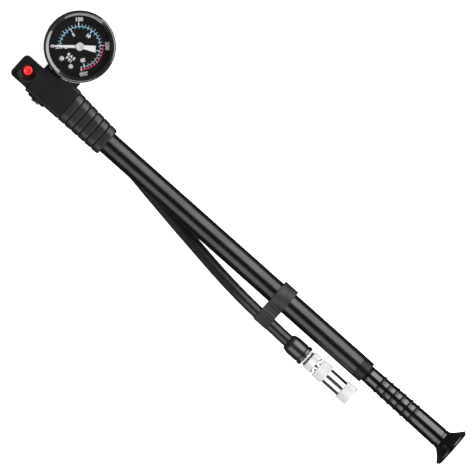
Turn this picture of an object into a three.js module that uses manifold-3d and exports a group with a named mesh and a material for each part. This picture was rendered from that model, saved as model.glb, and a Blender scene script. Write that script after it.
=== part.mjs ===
// A high-pressure hand pump for bicycle suspension, in millimetres with +Z up.
// It lies with its dial facing up and its plunger pushed in. +X runs along the barrel from the
// head to the palm end, +Y points from the barrel to the gauge, and the hose lies on the -Y side.
// The origin is the centre of the palm disc's outer face, on the barrel's axis. Stations below
// are measured along X from the closed end of the head.
import * as THREE from 'three';
import { mergeVertices } from 'three/addons/utils/BufferGeometryUtils.js';
import Module from 'manifold-3d';

const wasm = await Module();
wasm.setup();

// ---------------------------------------------------------------- driving dimensions
const LENGTH = 324.6; // the closed pump, from the head's end to the palm disc
const GAP = 0.3; // clearance between neighbouring pieces
const FACETS = { tiny: 10, small: 14, middle: 18, large: 24, gauge: 36 }; // sides of round pieces

const HEAD = { half: 8.6, low: -8.6, high: 11.6, start: 12.8, end: 37.2, lip: 33.4, round: 2.2 };
const BLOCK = { end: 16, half: 7.4, corner: 2.8, top: 7.8 };
const GRIP = { start: 36.9, end: 66.6, ribs: 6, scallop: 0.55, corner: 6 };
const CREASE = { x: 16.4, y: 3.9, turn: 31, slope: 24 }; // the bevel beside the gauge, in degrees
const BOSS = { x: 21.1, radius: 5.55, face: -9.5 };
const PASSAGE = { radius: 2.6, start: 18, end: 31.6, bleed: 1.2, bleedFloor: -7.4 };

const GAUGE = { x: 19.8, y: 29.8, radius: 20.2, window: 17.3, back: -9, front: 10, stem: -1.7 };
const CASE = { radius: 19.5, wall: 1.3, floor: 1.4, rim: 5.6 };
const SADDLE = 20.8; // radius of the head's hollow that hugs the gauge
const DIAL = { radius: 17.9, low: 2.4, high: 3.0, screwX: 3.35, screwY: -11.7 };
const POINTER = { low: 4.5, high: 4.9, reach: 13.6, tail: 8.8, zero: 225 };
const SECTOR = { pitch: 6.4, pinion: 0.8, low: -2.4, high: -1.6 };

const BUTTON = { x: 6.9, y: 0.6, radius: 2.85, top: 9.3, low: 6.2, collar: 6.8, collarTop: 9.8 };

const BARREL = { start: 32, end: 254.1, radius: 6.5, bore: 5.4 };
const CAP = { start: 254.4, end: 260.3, radius: 6.53, spigot: 247.8 };
const ROD = { radius: 3.2, start: 43.2, shoulder: 50.4, end: 312.2 };
const PISTON = { start: 42, end: 50.1, radius: 5.1 };
const HANDLE = { start: 262.2, end: 316.1, near: 5.05, far: 5.8, ring: 0.5 };
const RING_STATIONS = [270.3, 275.3, 280.1, 284.8, 289.8, 294.6];
const FLARE = { start: 316.4, end: 323.6, neck: 5.8, rim: 12.05, curve: 2.2 };

const SWIVEL = { x: 28, y: 2.5, z: -13.8, radius: 5.6, top: -9, low: -18.2, turn: -4 };
const HOSE = { radius: 3.7, sides: 4, steps: 34 };
const CHUCK = { y: -15.85, bore: 2.9, socket: 4.05 };
const CLIP = { start: 192.6, end: 202, ring: 8.3, half: 5.4, face: -19.4, hoseY: -15.3 };

// The hose's centre line: out of the swivel under the grip, up past the barrel's side to the
// clip, and on into the ferrule of the chuck.
const HOSE_ROUTE = [
  [37.6, 1.85, -13.8],
  [55, 0.5, -13.8],
  [73, -1.1, -13.4],
  [91.2, -3.2, -12.4],
  [111.3, -6.2, -11],
  [128, -8.6, -9.2],
  [144.8, -10.8, -6.9],
  [155.9, -12.25, -5],
  [167.1, -13.5, -3],
  [178.2, -14.45, -1.1],
  [189.4, -15.05, -0.1],
  [203.4, -15.55, 0],
  [214.5, -15.8, 0],
  [224, -15.85, 0],
];

// ---------------------------------------------------------------- materials
function finish(color, roughness, metalness, extra = {}) {
  return () => new THREE.MeshStandardMaterial({ color, roughness, metalness, ...extra });
}

const FINISH = {
  nylon: finish(0x1e1e1f, 0.6, 0),
  anodised: finish(0x161617, 0.35, 0.8),
  chrome: finish(0xd8dade, 0.15, 1),
  steel: finish(0x9a9da1, 0.3, 1),
  brass: finish(0xb5933f, 0.35, 1),
  rubber: finish(0x101010, 0.75, 0),
  acetal: finish(0xe6e3da, 0.5, 0),
  hose: finish(0x141414, 0.45, 0),
  red: finish(0xd8101c, 0.3, 0),
  gloss: finish(0x0c0c0d, 0.15, 0),
  dial: finish(0x0b0b0c, 0.6, 0),
  white: finish(0xf2f2f0, 0.4, 0),
  clear: finish(0xffffff, 0.05, 0, { transparent: true, opacity: 0.2 }),
};

// ---------------------------------------------------------------- shape helpers
const radians = THREE.MathUtils.degToRad;

// A body of revolution from [station, radius] pairs, about +Y. An outline that leaves the axis
// is closed on itself, as a ring.
function turned(outline, segments = FACETS.small) {
  const points = outline.map(([station, radius]) => new THREE.Vector2(radius, station));
  if (THREE.ShapeUtils.area(points) < 0) points.reverse();
  if (outline[0][1] > 0) points.push(points[0].clone());
  return new THREE.LatheGeometry(points, segments);
}

function turnedX(outline, segments) {
  return turned(outline, segments).rotateZ(-Math.PI / 2);
}

function turnedZ(outline, segments) {
  return turned(outline, segments).rotateX(Math.PI / 2);
}

// A plain sleeve about X or Z, from one station to another.
function sleeve(from, to, inner, outer) {
  return [
    [from, inner],
    [from, outer],
    [to, outer],
    [to, inner],
  ];
}

// A round bar between two points.
function bar(from, to, radius, segments = FACETS.small) {
  const start = new THREE.Vector3(...from);
  const reach = new THREE.Vector3(...to).sub(start);
  const length = reach.length();
  const geometry = new THREE.CylinderGeometry(radius, radius, length, segments);
  geometry.translate(0, length / 2, 0);
  const up = new THREE.Vector3(0, 1, 0);
  geometry.applyQuaternion(new THREE.Quaternion().setFromUnitVectors(up, reach.normalize()));
  return geometry.translate(...from);
}

function block(low, high) {
  const size = high.map((value, axis) => value - low[axis]);
  const middle = high.map((value, axis) => (value + low[axis]) / 2);
  return new THREE.BoxGeometry(...size).translate(...middle);
}

function rectangle(left, low, right, high) {
  const shape = new THREE.Shape();
  shape.moveTo(left, low);
  shape.lineTo(right, low);
  shape.lineTo(right, high);
  shape.lineTo(left, high);
  return shape;
}

function roundedRectangle(centreX, centreY, halfX, halfY, radius) {
  const shape = new THREE.Shape();
  const right = centreX + halfX - radius;
  const left = centreX - halfX + radius;
  const top = centreY + halfY - radius;
  const low = centreY - halfY + radius;
  shape.absarc(right, top, radius, 0, Math.PI / 2);
  shape.absarc(left, top, radius, Math.PI / 2, Math.PI);
  shape.absarc(left, low, radius, Math.PI, 1.5 * Math.PI);
  shape.absarc(right, low, radius, 1.5 * Math.PI, 2 * Math.PI);
  return shape;
}

// A flat shape made thick between two heights, with its top and bottom edges rounded.
function slab(shape, low, high, round = 0, curveSegments = 5) {
  const geometry = new THREE.ExtrudeGeometry(shape, {
    depth: high - low - 2 * round,
    curveSegments,
    bevelEnabled: round > 0,
    bevelThickness: round,
    bevelSize: round,
    bevelOffset: -round,
    bevelSegments: 2,
  });
  return geometry.translate(0, 0, low + round);
}

// Turns a slab drawn in X and Y so that its drawing lies in Y and Z and its thickness along X.
function facingX(geometry) {
  const x = new THREE.Vector3(1, 0, 0);
  const y = new THREE.Vector3(0, 1, 0);
  const z = new THREE.Vector3(0, 0, 1);
  return geometry.applyMatrix4(new THREE.Matrix4().makeBasis(y, z, x));
}

// A helix about +Z; with no rise it is a plain arc.
class Coil extends THREE.Curve {
  constructor(radius, rise, start, sweep) {
    super();
    Object.assign(this, { radius, rise, start, sweep });
  }

  getPoint(t, target = new THREE.Vector3()) {
    const angle = this.start + this.sweep * t;
    return target.set(this.radius * Math.cos(angle), this.radius * Math.sin(angle), this.rise * t);
  }
}

function swept(shape, path, steps, curveSegments) {
  return new THREE.ExtrudeGeometry(shape, {
    steps,
    curveSegments,
    bevelEnabled: false,
    extrudePath: path,
  });
}

function disc(radius) {
  return new THREE.Shape().absarc(0, 0, radius, 0, 2 * Math.PI);
}

function spring(radius, wire, length, turns) {
  const path = new Coil(radius, length, 0, turns * 2 * Math.PI);
  return swept(disc(wire), path, turns * 8, 2);
}

// A rubber ring about X or Z, faceted like the grooves it sits in.
function ringAbout(axis, centre, section) {
  const geometry = new THREE.TorusGeometry(centre, section, 5, FACETS.small);
  return axis === 'x' ? geometry.rotateY(Math.PI / 2) : geometry;
}

// ---------------------------------------------------------------- joining and cutting
function toSolid(geometry) {
  const bare = geometry.clone();
  bare.deleteAttribute('normal');
  bare.deleteAttribute('uv');
  const merged = mergeVertices(bare, 1e-4);
  const corners = merged.index.array;
  const kept = [];
  for (let i = 0; i < corners.length; i += 3) {
    const [a, b, c] = corners.slice(i, i + 3);
    if (a !== b && b !== c && c !== a) kept.push(a, b, c);
  }
  const vertProperties = new Float32Array(merged.attributes.position.array);
  const triVerts = new Uint32Array(kept);
  return new wasm.Manifold(new wasm.Mesh({ numProp: 3, vertProperties, triVerts }));
}

function toGeometry(solid) {
  const mesh = solid.getMesh();
  const geometry = new THREE.BufferGeometry();
  geometry.setAttribute('position', new THREE.BufferAttribute(mesh.vertProperties, 3));
  geometry.setIndex(new THREE.BufferAttribute(mesh.triVerts, 1));
  geometry.computeVertexNormals();
  return geometry;
}

function shaped(base, joined, removed = []) {
  let solid = toSolid(base);
  for (const geometry of joined) solid = solid.add(toSolid(geometry));
  for (const geometry of removed) solid = solid.subtract(toSolid(geometry));
  return toGeometry(solid);
}

// ---------------------------------------------------------------- the assembly
const pump = new THREE.Group();
pump.position.x = -LENGTH;

function add(name, geometry, material, place = [0, 0, 0], parent = pump) {
  const mesh = new THREE.Mesh(geometry, material());
  mesh.name = name;
  mesh.position.set(...place);
  parent.add(mesh);
  return mesh;
}

// ---------------------------------------------------------------- head
// The body of the head: a block with a lip that reaches up beside the gauge, hollowed to hug
// the gauge's round case, with a slanting bevel next to it.
function headBody() {
  const { half, low, high, start, end, lip, round } = HEAD;
  const body = slab(rectangle(start, low, end, high), -half, half, round);
  const ear = slab(rectangle(start + 1, 0, lip, high + 4), -half, half, round);
  const saddle = bar([GAUGE.x, GAUGE.y, -20], [GAUGE.x, GAUGE.y, 20], SADDLE, 60);
  const bevel = block([-40, 0, 0], [40, 30, 20]);
  bevel.rotateX(radians(-CREASE.slope));
  bevel.rotateZ(radians(CREASE.turn));
  bevel.translate(CREASE.x, CREASE.y, half);
  return shaped(body, [ear], [saddle, bevel]);
}

// One rib of the grip: the ribs get smaller towards the barrel, and their lower edges line up.
function rib(index) {
  const width = (GRIP.end - GRIP.start) / GRIP.ribs;
  const share = index / (GRIP.ribs - 1);
  const halfY = THREE.MathUtils.lerp(9.8, 8.55, share);
  const halfZ = THREE.MathUtils.lerp(8.6, 8, share);
  const shape = roundedRectangle(halfY - 8.6, 0, halfY, halfZ, GRIP.corner);
  const start = GRIP.start + index * width;
  const geometry = new THREE.ExtrudeGeometry(shape, {
    depth: width - 2 + 0.1,
    curveSegments: 3,
    bevelThickness: 1,
    bevelSize: GRIP.scallop,
    bevelOffset: -GRIP.scallop,
    bevelSegments: 1,
  });
  return facingX(geometry).translate(start + 1 - 0.05, 0, 0);
}

// The square end that holds the bleed valve, with a round dished collar about the button.
function bleedBlock() {
  const half = BLOCK.end / 2;
  const outline = roundedRectangle(half, 0, half, BLOCK.half, BLOCK.corner);
  return slab(outline, -HEAD.half, BLOCK.top, 1.2, 3);
}

function buttonCollar() {
  const { collar, collarTop } = BUTTON;
  const outline = [
    [0, 0],
    [0, collar],
    [collarTop - 0.8, collar],
    [collarTop, collar - 0.8],
    [collarTop, 0],
  ];
  return turnedZ(outline, FACETS.large).translate(BUTTON.x, BUTTON.y, 0);
}

function buttonDish() {
  const { radius, collarTop } = BUTTON;
  const outline = [
    [2.5, 0],
    [2.5, radius + GAP],
    [7.6, radius + GAP],
    [8, 4.1],
    [8.6, 5],
    [collarTop, 5.6],
    [collarTop + 1, 5.6],
    [collarTop + 1, 0],
  ];
  return turnedZ(outline, FACETS.middle).translate(BUTTON.x, BUTTON.y, 0);
}

function headHollows() {
  const socket = bar([31.6, 0, 0], [80, 0, 0], BARREL.radius + GAP, FACETS.large);
  const passage = bar([PASSAGE.start, 0, 0], [PASSAGE.end + 1, 0, 0], PASSAGE.radius);
  const bleedWay = bar([BUTTON.x, 0, 0], [PASSAGE.start + 1, 0, 0], PASSAGE.bleed, FACETS.tiny);
  const bleedBore = bar([BUTTON.x, BUTTON.y, PASSAGE.bleedFloor], [BUTTON.x, BUTTON.y, 3], 1.9, FACETS.tiny);
  const gaugePort = bar([GAUGE.x, 1.5, GAUGE.stem], [GAUGE.x, 20, GAUGE.stem], 3.8);
  const plugPort = bar([BOSS.x, -12, 0], [BOSS.x, -1.5, 0], 2.5, FACETS.small);
  const swivelPort = bar([SWIVEL.x, SWIVEL.y, -12], [SWIVEL.x, SWIVEL.y, -2], 2.7);
  return [socket, passage, bleedWay, bleedBore, gaugePort, plugPort, swivelPort, buttonDish()];
}

function buildHead() {
  const ribs = Array.from({ length: GRIP.ribs }, (_, index) => rib(index));
  const boss = bar([BOSS.x, 0, 0], [BOSS.x, BOSS.face, 0], BOSS.radius, FACETS.middle);
  const joined = [bleedBlock(), buttonCollar(), boss, ...ribs];
  add('head_housing', shaped(headBody(), joined, headHollows()), FINISH.nylon);
  buildPassagePlug();
}

// A chrome plug closes the cross-drilled air passage.
function buildPassagePlug() {
  const body = turned([
    [BOSS.face - 0.9, 0],
    [BOSS.face - 0.9, 2.3],
    [BOSS.face - 0.6, 2.8],
    [BOSS.face - GAP, 2.8],
    [BOSS.face - GAP, 2.2],
    [-4, 2.2],
    [-4, 0],
  ]);
  const key = new THREE.CylinderGeometry(1.3, 1.3, 4, 6).translate(0, BOSS.face - 0.5, 0);
  add('passage_plug', shaped(body, [], [key]), FINISH.chrome, [BOSS.x, 0, 0]);
}

// ---------------------------------------------------------------- valves in the head
function buildCheckValve() {
  const seat = turnedX([
    [32.3, 0.9],
    [31.9, 1.4],
    [31.9, 2.3],
    [32.3, 2.3],
    [32.3, 5.1],
    [33.6, 5.1],
    [33.6, 3.5],
    [36, 3.5],
    [36, 5.1],
    [39, 5.1],
    [39, 0.9],
  ]);
  add('check_valve_seat', seat, FINISH.brass);
  add('seat_o_ring', ringAbout('x', 4.55, 0.7), FINISH.rubber, [34.8, 0, 0]);
  add('check_valve_ball', new THREE.SphereGeometry(1.5, 10, 8), FINISH.steel, [30, 0, 0]);
  const coil = spring(1.5, 0.25, 5.6, 5).rotateY(Math.PI / 2);
  add('check_valve_spring', coil, FINISH.steel, [22.4, 0, 0]);
}

function buildBleedValve() {
  const { x, y, radius, top, low } = BUTTON;
  const cap = turnedZ([
    [low, 0],
    [low, radius],
    [top - 0.7, radius],
    [top - 0.2, radius - 0.35],
    [top, radius - 0.9],
    [top - 0.25, 1],
    [top - 0.3, 0],
  ]);
  add('bleed_button', cap, FINISH.red, [x, y, 0]);
  const stem = turnedZ([
    [-5.4, 0],
    [-5.4, 1.5],
    [-4.6, 1.5],
    [-4.2, 0.8],
    [low - GAP, 0.8],
    [low - GAP, 0],
  ]);
  add('bleed_stem', stem, FINISH.brass, [x, y, 0]);
  add('bleed_seal', ringAbout('z', 1.45, 0.32), FINISH.rubber, [x, y, -3.4]);
  add('bleed_spring', spring(1.9, 0.25, 2.7, 3), FINISH.steel, [x, y, 2.85]);
}

// ---------------------------------------------------------------- gauge
const gauge = new THREE.Group();
gauge.position.set(GAUGE.x, GAUGE.y, 0);
pump.add(gauge);

function buildCase() {
  const { radius, wall, floor, rim } = CASE;
  const cup = turnedZ(
    [
      [GAUGE.back, 0],
      [GAUGE.back, radius - 1.2],
      [GAUGE.back + 1.2, radius],
      [rim, radius],
      [rim, radius - wall],
      [GAUGE.back + floor, radius - wall],
      [GAUGE.back + floor, 0],
    ],
    FACETS.gauge,
  );
  const port = bar([0, -22, GAUGE.stem], [0, -16, GAUGE.stem], 3.9);
  add('gauge_case', shaped(cup, [], [port]), FINISH.gloss, [0, 0, 0], gauge);
}

function buildFront() {
  const { radius, window, front } = GAUGE;
  const bezel = turnedZ(
    [
      [4, CASE.radius + GAP],
      [4, radius],
      [front - 1.2, radius],
      [front, radius - 1.2],
      [front, radius - 2],
      [front - 0.9, window],
      [front - 0.9, CASE.radius + GAP],
    ],
    FACETS.gauge,
  );
  add('gauge_bezel', bezel, FINISH.gloss, [0, 0, 0], gauge);
  const lens = turnedZ([[7.9, 0], [7.9, 19.4], [8.8, 19.4], [8.8, 0]], FACETS.gauge);
  add('gauge_lens', lens, FINISH.clear, [0, 0, 0], gauge);
  add('lens_gasket', turnedZ(sleeve(5.9, 7.6, 18.3, 19.4), FACETS.gauge), FINISH.rubber, [0, 0, 0], gauge);
}

function hole(shape, x, y, radius) {
  shape.holes.push(new THREE.Path().absarc(x, y, radius, 0, 2 * Math.PI, true));
}

function buildDial() {
  const face = disc(DIAL.radius);
  hole(face, 0, 0, 1.1);
  hole(face, -DIAL.screwX, DIAL.screwY, 1);
  hole(face, DIAL.screwX, DIAL.screwY, 1);
  add('gauge_dial', slab(face, DIAL.low, DIAL.high, 0, 10), FINISH.dial, [0, 0, 0], gauge);
  const screw = [
    [0.2, 0],
    [0.2, 0.7],
    [DIAL.high + GAP, 0.7],
    [DIAL.high + GAP, 1.4],
    [DIAL.high + 0.8, 1.2],
    [DIAL.high + 1, 0],
  ];
  for (const [name, side] of [['dial_screw_left', -1], ['dial_screw_right', 1]]) {
    const place = [side * DIAL.screwX, DIAL.screwY, 0];
    add(name, turnedZ(screw, FACETS.tiny), FINISH.steel, place, gauge);
  }
}

// The brass stem screws into the head; its block inside the case carries the curved tube.
function buildStem() {
  const shank = bar([0, 3.2 - GAUGE.y, GAUGE.stem], [0, -15, GAUGE.stem], 3.5);
  const body = block([-5.4, -16.4, -5], [5.4, -10.2, 1.8]);
  const left = bar([-DIAL.screwX, DIAL.screwY, -0.4], [-DIAL.screwX, DIAL.screwY, 3], 1, FACETS.tiny);
  const right = bar([DIAL.screwX, DIAL.screwY, -0.4], [DIAL.screwX, DIAL.screwY, 3], 1, FACETS.tiny);
  const airWay = bar([0, -32, GAUGE.stem], [0, -13, GAUGE.stem], 1, FACETS.tiny);
  const stem = shaped(shank, [body], [left, right, airWay]);
  add('gauge_stem', stem, FINISH.brass, [0, 0, 0], gauge);
}

function buildMovement() {
  const path = new Coil(13.2, 0, radians(-58), radians(250));
  const section = roundedRectangle(0, 0, 2.2, 0.75, 0.7);
  add('bourdon_tube', swept(section, path, 20, 1), FINISH.brass, [0, 0, -3], gauge);
  buildFrame();
  buildSector();
  const arbor = turnedZ([
    [-6.4, 0],
    [-6.4, 0.6],
    [-3, 0.6],
    [-3, SECTOR.pinion - 0.1],
    [-1, SECTOR.pinion - 0.1],
    [-1, 0.6],
    [5, 0.6],
    [5, 0],
  ], FACETS.tiny);
  add('pointer_arbor', arbor, FINISH.steel, [0, 0, 0], gauge);
}

// Two plates on two pillars, with the pin that the toothed sector turns on.
function buildFrame() {
  const outline = roundedRectangle(0, -2.7, 8.4, 6.6, 1.5);
  const lower = slab(outline, -6.9, -6, 0, 3);
  const upper = slab(outline, 0.6, 1.4, 0, 3);
  const left = bar([-7, -2.7, -6.5], [-7, -2.7, 1], 0.9, FACETS.tiny);
  const right = bar([7, -2.7, -6.5], [7, -2.7, 1], 0.9, FACETS.tiny);
  const pinY = -SECTOR.pitch - SECTOR.pinion;
  const pin = bar([0, pinY, -6.5], [0, pinY, 1], 0.6, FACETS.tiny);
  const arborHole = bar([0, 0, -9], [0, 0, 3], 0.9, FACETS.tiny);
  const frame = shaped(lower, [left, right, pin, upper], [arborHole]);
  add('movement_frame', frame, FINISH.brass, [0, 0, 0], gauge);
}

// The sector swings on its pin and turns the pointer's pinion; its teeth are too fine to model.
function buildSector() {
  const reach = SECTOR.pitch - 0.2;
  const shape = new THREE.Shape();
  shape.absarc(0, 0, reach, radians(50), radians(96));
  shape.absarc(0, 0, 1.5, radians(130), radians(380));
  shape.closePath();
  hole(shape, 0, 0, 0.9);
  const place = [0, -SECTOR.pitch - SECTOR.pinion, 0];
  add('sector_gear', slab(shape, SECTOR.low, SECTOR.high, 0, 4), FINISH.brass, place, gauge);
}

// The pointer at rest on zero, with its flared tail and its turned hub.
function buildPointer() {
  const { low, high, reach, tail, zero } = POINTER;
  const shape = new THREE.Shape();
  shape.moveTo(-tail, -2.1);
  shape.lineTo(-tail + 2, -2.1);
  shape.lineTo(-2, -1);
  shape.lineTo(0, -1.4);
  shape.lineTo(reach, -0.3);
  shape.lineTo(reach, 0.3);
  shape.lineTo(0, 1.4);
  shape.lineTo(-2, 1);
  shape.lineTo(-tail + 2, 2.1);
  shape.lineTo(-tail, 2.1);
  shape.closePath();
  hole(shape, 0, 0, 0.9);
  const needle = slab(shape, low, high, 0, 3).rotateZ(radians(zero));
  add('pointer', needle, FINISH.white, [0, 0, 0], gauge);
  const hub = turnedZ([[5.3, 0], [5.3, 2.5], [5.9, 2.5], [6.3, 2], [6.3, 0]], FACETS.middle);
  add('pointer_hub', hub, FINISH.steel, [0, 0, 0], gauge);
}

// ---------------------------------------------------------------- barrel and plunger
function buildBarrel() {
  const { start, end, radius, bore } = BARREL;
  add('barrel_tube', turnedX(sleeve(start, end, bore, radius), FACETS.large), FINISH.anodised);
  const cap = turnedX(
    [
      [CAP.spigot, 3.5],
      [CAP.spigot, 5.1],
      [CAP.start, 5.1],
      [CAP.start, CAP.radius - 0.2],
      [CAP.start + 0.3, CAP.radius],
      [CAP.end - 0.4, CAP.radius],
      [CAP.end, CAP.radius - 0.4],
      [CAP.end, 5.2],
      [CAP.end - 2.9, 5.2],
      [CAP.end - 2.9, 3.5],
    ],
    FACETS.large,
  );
  add('barrel_end_cap', cap, FINISH.anodised);
  add('rod_guide', turnedX(sleeve(240, CAP.spigot - GAP, 3.5, 5.1)), FINISH.acetal);
  const wiper = [
    [CAP.end - 2.6, 3.5],
    [CAP.end - 2.6, 4.9],
    [CAP.end - 0.2, 4.9],
    [CAP.end - 0.2, 4.2],
    [CAP.end - 0.6, 3.5],
  ];
  add('rod_wiper', turnedX(wiper), FINISH.rubber);
}

function buildPlunger() {
  const { radius, start, shoulder, end } = ROD;
  const rod = [[start, 0], [start, 1.8], [shoulder, 1.8], [shoulder, radius], [end, radius], [end, 0]];
  add('piston_rod', turnedX(rod), FINISH.steel);
  const head = [
    [PISTON.start, 0],
    [PISTON.start, PISTON.radius - 0.4],
    [PISTON.start + 0.4, PISTON.radius],
    [44.6, PISTON.radius],
    [44.6, 3.5],
    [47, 3.5],
    [47, PISTON.radius],
    [PISTON.end, PISTON.radius],
    [PISTON.end, 2.1],
    [start - GAP, 2.1],
    [start - GAP, 0],
  ];
  add('piston_head', turnedX(head), FINISH.acetal);
  add('piston_o_ring', ringAbout('x', 4.55, 0.72), FINISH.rubber, [45.8, 0, 0]);
  add('stop_washer', turnedX(sleeve(50.8, 52.8, 3.5, 5)), FINISH.rubber);
}

// The outline of the handle's tube, from the barrel to the palm end, with its raised rings.
function handleOutline() {
  const { start, end, near, far, ring } = HANDLE;
  const radiusAt = (x) => THREE.MathUtils.mapLinear(x, start, end, near, far);
  const outline = [[start, 3.5], [start, near]];
  for (const x of RING_STATIONS) {
    outline.push([x - 0.7, radiusAt(x)], [x - 0.3, radiusAt(x) + ring]);
    outline.push([x + 0.3, radiusAt(x) + ring], [x + 0.7, radiusAt(x)]);
  }
  outline.push([end - 1.5, far], [end - 1.3, far + 0.15], [end, far + 0.15], [end, 3.5]);
  return outline;
}

// The trumpet that fills the palm, with a spigot in the handle's bore.
function flareOutline() {
  const { start, end, neck, rim, curve } = FLARE;
  const outline = [[ROD.end + GAP, 0], [ROD.end + GAP, 3.2], [start, 3.2]];
  const steps = 6;
  for (let i = 0; i <= steps; i += 1) {
    const share = i / steps;
    const radius = neck + (rim - neck) * share ** curve;
    outline.push([start + (end - start - 0.8) * share, radius]);
  }
  outline.push([end, rim], [end, 2.8], [end - 3, 2.8], [end - 3, 0]);
  return outline;
}

function buildHandle() {
  add('handle_collar', turnedX(sleeve(CAP.end + GAP, HANDLE.start - GAP, 3.5, 5)), FINISH.steel);
  add('handle_tube', turnedX(handleOutline(), FACETS.middle), FINISH.anodised);
  add('palm_flare', turnedX(flareOutline(), FACETS.large), FINISH.anodised);
  const disc = [
    [FLARE.end - 2.6, 0],
    [FLARE.end - 2.6, 2.5],
    [FLARE.end + GAP, 2.5],
    [FLARE.end + GAP, 11.6],
    [LENGTH, 10.6],
    [LENGTH, 0],
  ];
  add('palm_disc', turnedX(disc, FACETS.large), FINISH.gloss);
}

// ---------------------------------------------------------------- hose swivel
function buildSwivel() {
  const { x, y, z, radius, top, low, turn } = SWIVEL;
  const body = turnedZ(
    [
      [low, radius - 0.8],
      [low + 0.8, radius],
      [top - 0.8, radius],
      [top, radius - 0.8],
      [top, 4.2],
      [top - 1.7, 4.2],
      [top - 1.7, 2.9],
      [low + 1.7, 2.9],
      [low + 1.7, 4.2],
      [low, 4.2],
    ],
    FACETS.middle,
  );
  const nipple = bar([4.7, 0, z], [9.3, 0, z], 3.4);
  const airWay = bar([0, 0, z], [12, 0, z], 1.2, FACETS.tiny);
  const fitting = shaped(body, [nipple], [airWay]).rotateZ(radians(turn));
  add('swivel_fitting', fitting, FINISH.nylon, [x, y, 0]);
  add('swivel_o_ring_upper', ringAbout('z', 3.4, 0.5), FINISH.rubber, [x, y, top - 0.9]);
  add('swivel_o_ring_lower', ringAbout('z', 3.4, 0.5), FINISH.rubber, [x, y, low + 0.9]);
  buildSwivelBolt(x, y, low);
  const crimp = turnedX(sleeve(9.5, 18, HOSE.radius + GAP, 4.5)).rotateZ(radians(turn));
  add('hose_crimp', crimp, FINISH.gloss, [x, y, z]);
}

// The hollow bolt that the fitting turns on.
function buildSwivelBolt(x, y, low) {
  const bolt = turnedZ([
    [low - 1.3, 0],
    [low - 1.3, 4.1],
    [low - 1, 4.5],
    [low - GAP, 4.5],
    [low - GAP, 2.4],
    [-3.2, 2.4],
    [-3.2, 0],
  ]);
  const key = new THREE.CylinderGeometry(1.7, 1.7, 5, 6).rotateX(Math.PI / 2);
  key.translate(0, 0, low - 1.8);
  const airWay = bar([0, 0, SWIVEL.z], [0, 0, 0], 1, FACETS.tiny);
  const crossWay = bar([-4, 0, SWIVEL.z], [4, 0, SWIVEL.z], 0.9, FACETS.tiny);
  add('swivel_bolt', shaped(bolt, [], [key, airWay, crossWay]), FINISH.steel, [x, y, 0]);
}

function buildHose() {
  const points = HOSE_ROUTE.map((point) => new THREE.Vector3(...point));
  const path = new THREE.CatmullRomCurve3(points);
  add('hose', swept(disc(HOSE.radius), path, HOSE.steps, HOSE.sides), FINISH.hose);
}

// ---------------------------------------------------------------- valve chuck
const chuck = new THREE.Group();
chuck.position.y = CHUCK.y;
pump.add(chuck);

function buildFerrule() {
  const outline = [
    [215.6, HOSE.radius + GAP],
    [215.6, 4.4],
    [217.2, 5.1],
    [219.4, 5.55],
    [225.9, 5.55],
    [226, 5.3],
    [226.5, 5.3],
    [226.6, 5.85],
    [228.7, 5.85],
    [229, 5.5],
    [229, CHUCK.bore],
    [224.3, CHUCK.bore],
    [224.3, HOSE.radius + GAP],
  ];
  add('hose_ferrule', turnedX(outline, FACETS.large), FINISH.gloss, [0, 0, 0], chuck);
  const core = [
    [224.6, 1.5],
    [224.6, 2.6],
    [229.3, 2.6],
    [229.3, 4.5],
    [230.1, 4.5],
    [230.1, 2.6],
    [247.8, 2.6],
    [247.8, 3.6],
    [249.5, 3.6],
    [249.5, 1.5],
  ];
  add('chuck_core', turnedX(core, FACETS.middle), FINISH.chrome, [0, 0, 0], chuck);
  add('neck_o_ring', ringAbout('x', 4.3, 0.3), FINISH.rubber, [230.5, 0, 0], chuck);
}

// The knurled nut that drives the pin forward to open the valve; slots mark its front edge.
function buildPinNut() {
  const body = turnedX(
    [
      [231.1, CHUCK.bore],
      [231.1, 5.1],
      [231.5, 5.45],
      [236.8, 5.45],
      [236.8, CHUCK.bore],
    ],
    FACETS.large,
  );
  const slots = [];
  for (let i = 0; i < 8; i += 1) {
    const slot = block([235.9, -0.7, 4.6], [237.4, 0.7, 6.2]);
    slots.push(slot.rotateX((i / 8) * 2 * Math.PI));
  }
  add('pin_nut', shaped(body, [], slots), FINISH.chrome, [0, 0, 0], chuck);
  const pin = [[240, 0], [240, 1.15], [252, 1.15], [252.6, 0.8], [253, 0.8], [253, 0]];
  add('valve_pin', turnedX(pin, FACETS.tiny), FINISH.brass, [0, 0, 0], chuck);
}

// The sleeve that screws onto a tyre-type valve, with a knurled band at each end.
function buildChuckSleeve() {
  const outline = [
    [237.7, CHUCK.bore],
    [237.7, 5.4],
    [238.1, 5.78],
    [244.1, 5.78],
    [244.5, 5.3],
    [244.5, 4.7],
    [255.8, 4.7],
    [255.8, 5.3],
    [256.3, 5.78],
    [261.9, 5.78],
    [262.8, 5.1],
    [262.8, CHUCK.socket],
    [247.5, CHUCK.socket],
    [247.5, CHUCK.bore],
  ];
  add('chuck_sleeve', turnedX(outline, FACETS.large), FINISH.chrome, [0, 0, 0], chuck);
  add('chuck_gasket', turnedX(sleeve(250, 252, 1.6, 3.75)), FINISH.rubber, [0, 0, 0], chuck);
}

// ---------------------------------------------------------------- hose clip
function buildClip() {
  const { start, end, ring, half, face, hoseY } = CLIP;
  const band = facingX(slab(disc(ring), start, end, 0.4, 12));
  const jawShape = roundedRectangle((face - 5) / 2, 0, (-5 - face) / 2, half, 1.2);
  const jaw = facingX(slab(jawShape, start, end, 0.4, 3));
  const bore = bar([start - 1, 0, 0], [end + 1, 0, 0], BARREL.radius + GAP, FACETS.large);
  const grip = HOSE.radius + GAP;
  const seat = bar([start - 1, hoseY, 0], [end + 1, hoseY, 0], grip, FACETS.large);
  const mouth = block([start - 1, face - 2, -grip], [end + 1, hoseY, grip]);
  add('hose_clip', shaped(band, [jaw], [bore, seat, mouth]), FINISH.nylon);
}

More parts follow.
